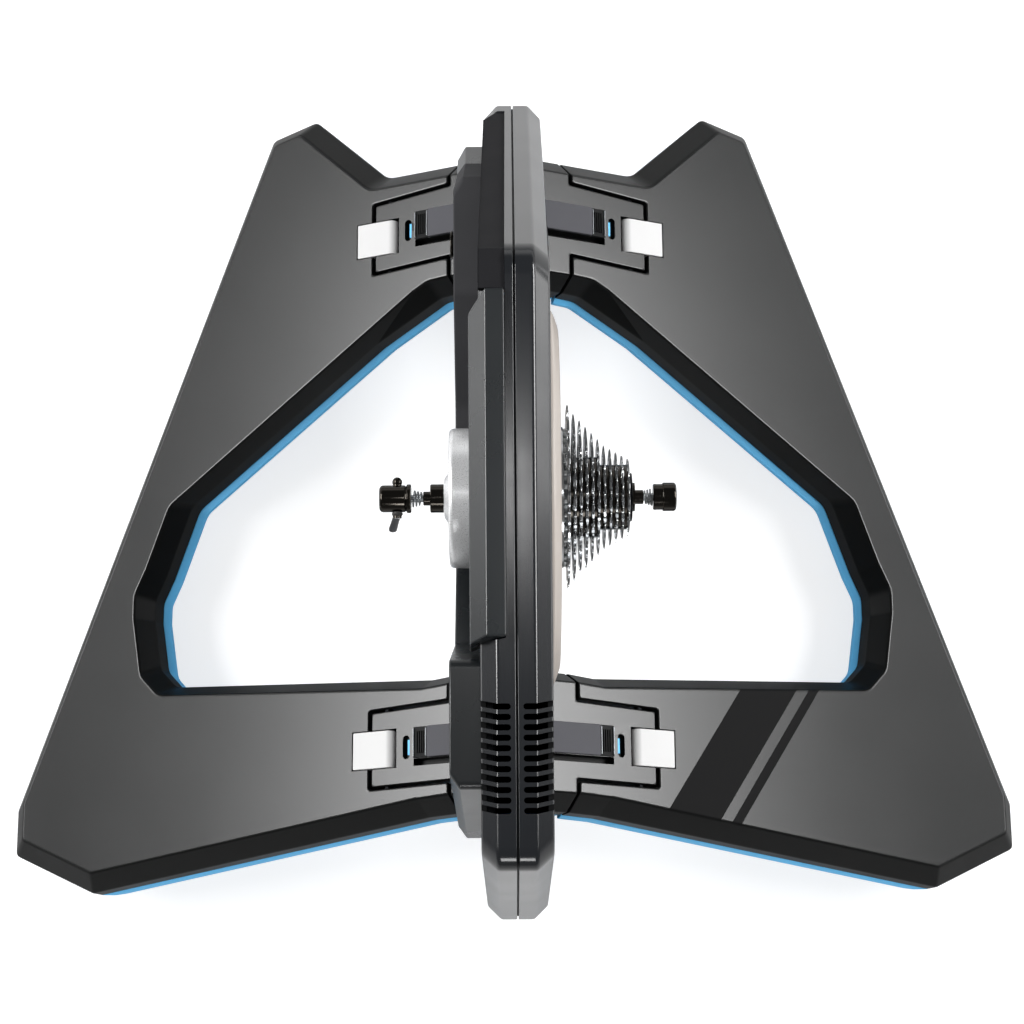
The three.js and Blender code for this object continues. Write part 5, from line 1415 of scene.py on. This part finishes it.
bolt = lathe("bolt", BOLT, [BLACK_CHROME], None, 24, False, centre=(0, BOLT_CIRCLE, 0))
grow(flange, RING, Copy=bolt, Count=BOLTS, Centre=AXLE_CENTRE, Phase=0.0, Material=ZINC_STEEL_AND_LIP_HIGHLIGHT)
ends = (FLANGE_FACE, FLANGE_FACE + RIVET_HEIGHT)
head = solid_rod("head", *ends, RIVET_RADIUS, 12, centre=(0, RIVET_CIRCLE, 0))
grow(flange, RING, Copy=head, Count=RIVETS, Centre=AXLE_CENTRE, Phase=RIVET_PHASE, Material=ZINC_STEEL_AND_LIP_HIGHLIGHT)
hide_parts("hub_flange")
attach(flange, "rotor")
print("flange with", BOLTS, "bolts and", RIVETS, "rivets")

# %% [markdown]
# ## The cassette
# A sprocket is stamped from plate. Its pitch is that of a bicycle chain, so the radius follows from
# the number of teeth. The whole plate could be one outline, but real teeth are thinner towards their
# tips so that the chain can shift. So a flat disc gets one such tooth copied round the axle, and the
# larger sprockets get five arms down to the hub. Black spacers keep the plates apart.

# %% The cassette
CHAIN_PITCH, TEETH = 12.7, [28, 25, 23, 21, 19, 17, 15, 14, 13, 12, 11]
FIRST_SPROCKET, SPROCKET_PITCH, PLATE, BORE, PLATE_EDGE = 35.4, 3.83, 1.8, 17.5, 0.3
ROOT_BELOW_PITCH, RIM_WIDTH, WITH_ARMS, ARM_COUNT, ARM_HALF = 3.6, 8, 6, 5, 3.2
# height above the root, half its width as a share of the pitch, half its thickness
TOOTH = [
    (-1.0, 0.36, 0.9),
    (0.3, 0.33, 0.9),
    (1.6, 0.26, 0.88),
    (3.2, 0.2, 0.7),
    (5.4, 0.13, 0.42),
    (6.1, 0.06, 0.28),
]
TOOTH_PHASE, ARM_PHASE = 0.1, 0.35
SPACERS = {"large": 25.5, "small": 20.5}


def tooth_levels(middle, root, step):
    """Rectangles from a tooth's root to its tip."""
    levels = []
    for above, share, thick in TOOTH:
        radius, angle = root + above, share * step
        y, z = radius * math.cos(angle), radius * math.sin(angle)
        low, high = middle - thick, middle + thick
        levels.append([(low, y, -z), (high, y, -z), (high, y, z), (low, y, z)])
    return levels


def sprocket(index):
    """A toothed plate, with arms where it is wide enough for them."""
    count, middle, half = TEETH[index], FIRST_SPROCKET + index * SPROCKET_PITCH, PLATE / 2
    root = CHAIN_PITCH / (2 * math.sin(math.pi / count)) - ROOT_BELOW_PITCH
    hole = max(BORE, root - RIM_WIDTH) if index < WITH_ARMS else BORE
    profile = [
        (middle - half, hole),
        (middle - half, root - PLATE_EDGE),
        (middle - half + PLATE_EDGE, root),
        (middle + half - PLATE_EDGE, root),
        (middle + half, root - PLATE_EDGE),
        (middle + half, hole),
    ]
    plate = lathe("sprocket_%d_plate" % count, profile, [NICKEL_STEEL], None, count * 3)
    tooth = piece("tooth", *skin(tooth_levels(middle, root, 2 * math.pi / count)), [NICKEL_STEEL])
    ring = dict(Centre=AXLE_CENTRE, Material=NICKEL_STEEL)
    grow(plate, RING, Copy=tooth, Count=count, Phase=TOOTH_PHASE * index, **ring)
    if hole > BORE:
        low, high = (middle - half, BORE, -ARM_HALF), (middle + half, hole + 0.6, ARM_HALF)
        arm = block("arm", low, high, None, [NICKEL_STEEL])
        grow(plate, RING, Copy=arm, Count=ARM_COUNT, Phase=ARM_PHASE * index, **ring)
    return plate


def spacer(index):
    """The ring between a sprocket and the next smaller one."""
    start = FIRST_SPROCKET + index * SPROCKET_PITCH + PLATE / 2
    end = start + SPROCKET_PITCH - PLATE
    outer = SPACERS["large" if index < 5 else "small"]
    profile = [(start, BORE), (start, outer), (start + 0.3, outer + 0.2)]
    profile += [(end - 0.3, outer + 0.2), (end, outer), (end, BORE)]
    lathe("spacer_%d" % TEETH[index], profile, [BLACK_CHROME], "cassette", 72)


CARRIERS = {"sprockets_28_25_23": range(0, 3), "sprockets_21_19_17": range(3, 6)}
for index in range(6, len(TEETH)):
    CARRIERS["sprocket_%d" % TEETH[index]] = range(index, index + 1)
for node, places in CARRIERS.items():
    for index in places:
        plate = sprocket(index)
        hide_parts(node)
        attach(plate, "cassette")
        if index < len(TEETH) - 1:
            spacer(index)
print("cassette of", len(TEETH), "sprockets with", sum(TEETH), "teeth")

# %% [markdown]
# The lockring holds the sprockets on the freehub. It is turned, and its splines for the tool are small
# blocks copied round it.

# %% Lockring
LOCKRING = [(74.9, 9.4), (74.9, 15.4), (76.0, 15.4), (76.3, 14.9), (76.3, 13.4), (75.6, 13.2), (75.6, 9.4)]
SPLINES, SPLINE_CORNERS = 12, ((75.2, 12.3, -0.55), (76.2, 13.6, 0.55))
lockring = lathe("cassette_lockring", LOCKRING, [DARK_STEEL], None, 72)
notch = block("spline", *SPLINE_CORNERS, None, [DARK_STEEL])
grow(lockring, RING, Copy=notch, Count=SPLINES, Centre=AXLE_CENTRE, Phase=0.0, Material=DARK_STEEL)
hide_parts("lockring")
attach(lockring, "cassette")
print("lockring with", SPLINES, "splines")

# %% [markdown]
# ## The axle's ends and the quick release
# A skewer through the axle clamps the bike. On the left a cam in a round housing pulls it tight when
# its lever is thrown, and on the right a nut is screwed on by its ridged rim. All of them are turned,
# so they are profiles again, in black chrome, whose small steps each catch a line of light.

# %% Axle ends and cam housing
LEFT_ADAPTER = [
    (-43.4, 2.8),
    (-43.4, 9.1),
    (-51.4, 9.1),
    (-51.9, 8.6),
    (-51.9, 4.5),
    (-56.0, 4.5),
    (-56.4, 4.1),
    (-56.4, 2.8),
]
RIGHT_ADAPTER = [
    (76.5, 2.8),
    (76.5, 8.7),
    (76.9, 9.1),
    (78.1, 9.1),
    (78.1, 4.5),
    (83.2, 4.5),
    (83.6, 4.1),
    (83.6, 2.8),
]
for side, profile in (("left", LEFT_ADAPTER), ("right", RIGHT_ADAPTER)):
    adapter = lathe(side + "_axle_end", profile, [BLACK_CHROME], "casing", 48)
    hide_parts(side + "_axle_adapter")
CAM_X, CAM_HOLE, CAM_HOLE_HALF, ROD_HOLE = -73, 3.1, 20, 2.7
CAM_HOUSING = [
    (-84.3, 0),
    (-84.3, 6.6),
    (-83.9, 7.6),
    (-83.1, 8.3),
    (-82.0, 8.6),
    (-68.4, 8.6),
    (-67.6, 8.0),
    (-67.0, 8.2),
    (-66.8, 9.0),
    (-66.2, 9.2),
    (-64.7, 9.2),
    (-64.1, 8.8),
    (-64.1, 0),
]
cam_housing = lathe("cam_housing_turned", CAM_HOUSING, [BLACK_CHROME], None, 64, False)
axle_y, axle_z = AXLE.y / MM, AXLE.z / MM
ends = (axle_y - CAM_HOLE_HALF, axle_y + CAM_HOLE_HALF)
cam_tool = along_pin("cam tool", CAM_X, axle_z, CAM_HOLE, *ends, None, 32)
carve(cam_housing, cam_tool, solid_rod("rod tool", CAM_X, -60, ROD_HOLE, 32))
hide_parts("skewer_cam_housing")
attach(cam_housing, "casing")
print("cam housing has", len(cam_housing.data.polygons), "faces")

# %% [markdown]
# ## The lever
# The lever is forged: a round cam with a knob at one end, a collar, and a flat handle that curves away
# from the housing. A bent box would have hard corners, so the handle is a row of ellipses along a
# curve, wide at the hand's end, and a skin through them.

# %% The lever
KNOB_RADIUS, KNOB_OUT, KNOB_STEPS, ROUND_STEPS = 3.2, 10.6, 12, 24
# radius, and where it starts and ends from the axle
CAM, COLLAR = (2.8, -12.5, 10), (3.5, -10.4, -9.0)
# place from the cam's centre, half width and half thickness
HANDLE = [
    (0, -9.4, 4.2, 0.6, 0.4),
    (0, -9.5, 3.8, 2.4, 1.2),
    (0, -9.6, 2.5, 3.3, 1.5),
    (0, -9.8, -2, 3.4, 1.5),
    (-0.7, -10.6, -9, 2.6, 1.4),
    (-1.9, -12.0, -18, 2.5, 1.4),
    (-3.3, -13.8, -29, 2.6, 1.5),
    (-4.5, -15.4, -39, 2.8, 1.6),
    (-4.9, -16.1, -43.5, 2.6, 1.5),
    (-5.0, -16.4, -45.4, 1.7, 1.0),
    (-5.0, -16.5, -46, 0.4, 0.3),
]


def lever():
    """The cam, its knob, the collar and the curved handle."""
    centre, turn = Vector((CAM_X, axle_y, axle_z)), full_turn(ROUND_STEPS)
    radius, start, end = CAM
    cam = along_pin("lever_cam", CAM_X, axle_z, radius, axle_y + start, axle_y + end, None, 32)
    cam.data.materials.append(BLACK_CHROME)
    rings = []
    for angle in [-math.pi / 2 + math.pi * k / KNOB_STEPS for k in range(KNOB_STEPS + 1)]:
        radius, y = KNOB_RADIUS * math.cos(angle), KNOB_OUT + KNOB_RADIUS * math.sin(angle)
        rings.append([centre + Vector((radius * math.cos(a), y, radius * math.sin(a))) for a in turn])
    knob = piece("lever_knob", *skin(rings, False, False), [BLACK_CHROME])
    rings = []
    for x, y, z, wide, thick in HANDLE:
        rings.append([centre + Vector((x + wide * math.cos(a), y + thick * math.sin(a), z)) for a in turn])
    handle = piece("lever_handle", *skin(rings), [LEVER_COAT], sharp=50)
    radius, start, end = COLLAR
    collar = along_pin("lever_collar", CAM_X, axle_z, radius, axle_y + start, axle_y + end, None, 6)
    collar.data.materials.append(NICKEL_STEEL)
    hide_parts("skewer_lever")
    for part in (cam, knob, handle, collar):
        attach(part, "skewer_lever")
    return handle


print("the lever's handle has", len(lever().data.polygons), "faces")

# %% [markdown]
# The nut is turned too. Its grip is a band of ridges, set by the ring tree.

# %% The nut
NUT_LEFT, NUT_RIDGES, THREAD_DEPTH = 89.8, 28, 11
RIDGE_CORNERS = ((NUT_LEFT + 2, 7.9, -0.42), (NUT_LEFT + 6, 8.95, 0.42))
NUT = [
    (0, 0),
    (0, 7.8),
    (0.5, 8.3),
    (1.9, 8.3),
    (1.9, 8.2),
    (6.1, 8.2),
    (6.1, 8.8),
    (6.5, 9.06),
    (13.0, 9.06),
    (14.0, 8.6),
    (14.6, 7.6),
    (14.8, 6.4),
    (14.8, 0),
]
nut = lathe("skewer_nut_turned", [(NUT_LEFT + x, r) for x, r in NUT], [BLACK_CHROME], None, 64, False)
ridge = block("ridge", *RIDGE_CORNERS, None, [BLACK_CHROME])
grow(nut, RING, Copy=ridge, Count=NUT_RIDGES, Centre=AXLE_CENTRE, Phase=0.0, Material=BLACK_CHROME)
carve(nut, solid_rod("thread tool", NUT_LEFT - OVER, NUT_LEFT + THREAD_DEPTH, ROD_HOLE, 32))
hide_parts("skewer_nut")
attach(nut, "skewer_nut")
print("nut with", NUT_RIDGES, "ridges")

# %% [markdown]
# ## The springs
# A small conical spring on either side keeps the quick release apart while the bike is put on. A
# spring is a coil by nature: a geometry tree winds a spiral whose radius shrinks along its height, and
# gives it a round section. It is wound along z and then laid on the axle.

# %% The springs
COIL_SIZES = dict(Turns=3.0, Start_Radius=5.2 * MM, End_Radius=3.7 * MM, Wire_Radius=0.55 * MM)
SPRINGS = {"left": (-63.3, -57.2), "right": (89.3, 84.1)}  # x of the large end and of the small one


def coil_tree():
    """A spiral of round wire with closed ends."""
    sizes = ("Turns", "Start Radius", "End Radius", "Length", "Wire Radius")
    inputs = {**dict.fromkeys(sizes, "Float"), "Material": "Material"}
    tree, given, result = new_tree("conical coil", inputs)
    spiral = {"Rotations": given.outputs["Turns"], "Height": given.outputs["Length"]}
    spiral.update({socket: given.outputs[socket] for socket in ("Start Radius", "End Radius")})
    path = add_node(tree, "GeometryNodeCurveSpiral", inputs={"Resolution": 40, **spiral})
    circle = {"Resolution": 12, "Radius": given.outputs["Wire Radius"]}
    section = add_node(tree, "GeometryNodeCurvePrimitiveCircle", inputs=circle)
    wire = {"Curve": path, "Profile Curve": section, "Fill Caps": True}
    return end_tree(tree, given, result, add_node(tree, "GeometryNodeCurveToMesh", inputs=wire))


COIL = coil_tree()


def spring(side, large_x, small_x):
    """A conical coil from its large end to its small one."""
    coil = piece(side + "_spring_coil", [], [], [ZINC_STEEL_AND_LIP_HIGHLIGHT])
    length, way = abs(small_x - large_x) * MM, 1 if small_x > large_x else -1
    grow(coil, COIL, sharp=60, Length=length, Material=ZINC_STEEL_AND_LIP_HIGHLIGHT, **COIL_SIZES)
    along_axle = Matrix.Rotation(way * math.pi / 2, 4, "Y")
    coil.data.transform(Matrix.Translation((large_x * MM, AXLE.y, AXLE.z)) @ along_axle)
    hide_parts(side + "_skewer_spring")
    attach(coil, "casing")


for side, ends in SPRINGS.items():
    spring(side, *ends)
print(len(SPRINGS), "springs of", COIL_SIZES["Turns"], "turns")

# %% [markdown]
# ## What stays as it is
# Pieces that are hardly seen, such as the channels, the brake and the circuit board, keep their CAD
# shape and only get a finish. Each solid names the kind of surface it has, so one dictionary turns
# that name into a material. The feet are seen from the side, so they get rounded edges.

# %% Finishes for the rest
FOOT_EDGE_MM = 1.2
FINISH = {
    "shell": CHARCOAL_ABS,
    "side_housing": HOUSING_ABS,
    "matte_panel": MATTE_ABS,
    "leg_top": LEG_LACQUER,
    "leg_frame": DARK_STEEL,
    "blue_trim": BLUE_ABS,
    "rubber": RUBBER,
    "arm": WALL_ABS,
    "arm_cap": ARM_CAP_ABS,
    "latch": SILVER_COAT,
    "steel": ZINC_STEEL_AND_LIP_HIGHLIGHT,
    "sprocket_steel": NICKEL_STEEL,
    "aluminium": SATIN_ALUMINIUM,
    "pale_cover": CREAM_LACQUER,
    "black_steel": DARK_STEEL,
    "stator": COPPER,
    "board": BOARD_RESIN,
}
for part in frame["record"]["subparts"]:
    thing = frame["nodes"][part["node"]]
    material = DARK_STEEL if "hinge_pin" in part["node"] else FINISH[part["material_slot"]]
    for slot in thing.material_slots:
        slot.material = material
for side in SIDES:
    for end in ARMS:
        foot = side + "_" + end
        rounded_copy(foot + "_foot", foot + "_pad", FOOT_EDGE_MM, RUBBER, side + "_leg", steps=3)

# %% [markdown]
# ## The camera
# The photograph looks down from almost straight above, from about two metres, slightly from behind the
# axle. A long lens keeps the casing's top from hiding what stands beside it.

# %% Camera
LENS, CAMERA_Y, CAMERA_HEIGHT = 89.05, -0.1865, 1.935
TILT, ROLL = math.radians(5.5), math.radians(-0.42)
scene = bpy.context.scene
camera = bpy.data.objects.new("camera", bpy.data.cameras.new("camera"))
scene.collection.objects.link(camera)
camera.data.sensor_width, camera.data.lens = 36, LENS
camera.data.clip_start, camera.data.clip_end = 0.05, 30
turned = Matrix.Rotation(TILT, 4, "X") @ Matrix.Rotation(ROLL, 4, "Z")
camera.matrix_world = Matrix.Translation((0, CAMERA_Y, CAMERA_HEIGHT)) @ turned
scene.camera = camera
scene.view_settings.view_transform = "Standard"
print("camera", CAMERA_HEIGHT, "m up with a", LENS, "mm lens")

# %% [markdown]
# ## The world
# A plain white world would be easiest, but it would wash out the shadow under the legs and make every
# dark surface grey. So the world shows three faces, told apart by the kind of ray. The camera sees
# white. Reflections see a white horizon that grows dim behind the trainer and towards the ceiling,
# which gives metal a pale background and leaves dark plastic dark. Matte surfaces get an even, dimmer
# light.

# %% World
AMBIENT, CEILING, BEHIND = 0.55, 0.15, 0.25
BEHIND_FROM, AHEAD_FROM, WALL_TOP, CEILING_FROM = -0.06, 0.14, 0.12, 0.42
world = bpy.data.worlds.new("studio")
scene.world = world
world.use_nodes = True
sky = world.node_tree
sky.nodes.clear()
rays = add_node(sky, "ShaderNodeLightPath")
either = {0: rays.outputs["Is Glossy Ray"], 1: rays.outputs["Is Transmission Ray"]}
glossy = add_node(sky, "ShaderNodeMath", {"operation": "MAXIMUM"}, either)
direction = {0: add_node(sky, "ShaderNodeTexCoord").outputs["Generated"]}
upward = add_node(sky, "ShaderNodeSeparateXYZ", inputs=direction)
smooth = {"interpolation_type": "SMOOTHSTEP"}
ends = {"From Min": BEHIND_FROM, "From Max": AHEAD_FROM, "To Min": BEHIND, "To Max": 1.0}
horizon = add_node(sky, "ShaderNodeMapRange", smooth, {"Value": upward.outputs["Y"], **ends})
ends = {"From Min": WALL_TOP, "From Max": CEILING_FROM, "To Min": horizon, "To Max": CEILING}
ceiling = add_node(sky, "ShaderNodeMapRange", smooth, {"Value": upward.outputs["Z"], **ends})
faces = []
for strength in (AMBIENT, ceiling, 1.0):
    light = {"Color": (1, 1, 1, 1), "Strength": strength}
    faces.append(add_node(sky, "ShaderNodeBackground", inputs=light))
dim, mirrored, white = faces
for_light = add_node(sky, "ShaderNodeMixShader", inputs={0: glossy, 1: dim, 2: mirrored})
seen = {0: rays.outputs["Is Camera Ray"], 1: for_light, 2: white}
chosen = add_node(sky, "ShaderNodeMixShader", inputs=seen)
add_node(sky, "ShaderNodeOutputWorld", inputs={"Surface": chosen})
print("world of", len(sky.nodes), "nodes")

# %% [markdown]
# ## Lamps
# Two large soft boxes high at the sides give the sloping tops of the legs their sheen near the hinges.
# Low panels and far panels at the sides stand where the bevels of the casing and the walls of the
# covers mirror them. A small lamp overhead draws a thin line along the crown, and one behind lights
# the tail. A lamp's power is worked out from the brightness of its face, so that a box keeps its look
# when its size changes.

# %% Lamps


def soft_box(name, place, target, width, depth, radiance):
    """A rectangular lamp of a given radiance, turned to a target, with its width along y."""
    lamp = bpy.data.objects.new(name, bpy.data.lights.new(name, "AREA"))
    scene.collection.objects.link(lamp)
    lamp.data.shape, lamp.data.size, lamp.data.size_y = "RECTANGLE", width, depth
    lamp.data.energy = radiance * math.pi * width * depth
    back = (Vector(place) - Vector(target)).normalized()
    across = Vector((0, 1, 0))
    turned = Matrix((across, back.cross(across), back)).transposed().to_4x4()
    lamp.matrix_world = Matrix.Translation(place) @ turned
    lamp.visible_camera = False


for sign in (1, -1):
    soft_box("soft box %+d" % sign, (sign * 2.15, 0.7, 2.12), (sign * 0.1, 0.0, 0.13), 2.0, 0.8, 16)
    soft_box("low panel %+d" % sign, (sign * 1.15, 0.2, 0.17), (0, 0.2, 0.17), 0.8, 0.25, 2.5)
for sign in (1, -1):
    soft_box("far panel %+d" % sign, (sign * 2.4, 0.62, 0.56), (0, 0.1, 0.54), 0.95, 0.3, 4.5)
soft_box("overhead lamp", (0, 0.07, 2.15), (0, 0.07, 0), 0.12, 0.1, 18)
soft_box("lamp behind", (0, -2.2, 1.9), (0, -0.25, 0.5), 0.7, 0.5, 7)

# %% [markdown]
# ## The floor
# The photograph's background is white, and a white floor would throw so much light back up that the
# trainer's undersides would glow. So the floor is a pale grey that shines for the camera alone, just
# enough to show as white where no shadow falls.

# %% Floor
FLOOR_HALF, FLOOR_SHINE = 6000, 0.7
floor_material, floor_tree, floor_shader = new_material("matte white floor", 0.9, Specular_IOR_Level=0.0)
floor_shader.inputs["Base Color"].default_value = linear("#b6b6b6")
floor_shader.inputs["Emission Color"].default_value = (1, 1, 1, 1)
shine = {0: add_node(floor_tree, "ShaderNodeLightPath").outputs["Is Camera Ray"], 1: FLOOR_SHINE}
shine = add_node(floor_tree, "ShaderNodeMath", {"operation": "MULTIPLY"}, shine)
floor_tree.links.new(shine.outputs[0], floor_shader.inputs["Emission Strength"])
corners = [(x * FLOOR_HALF, y * FLOOR_HALF, 0) for x, y in ((-1, -1), (1, -1), (1, 1), (-1, 1))]
floor = piece("floor", corners, [(0, 1, 2, 3)], [floor_material])
print("a floor", 2 * FLOOR_HALF * MM, "m square")

# %% [markdown]
# ## Done
# The last step updates the view layer.

# %% Update
bpy.context.view_layer.update()
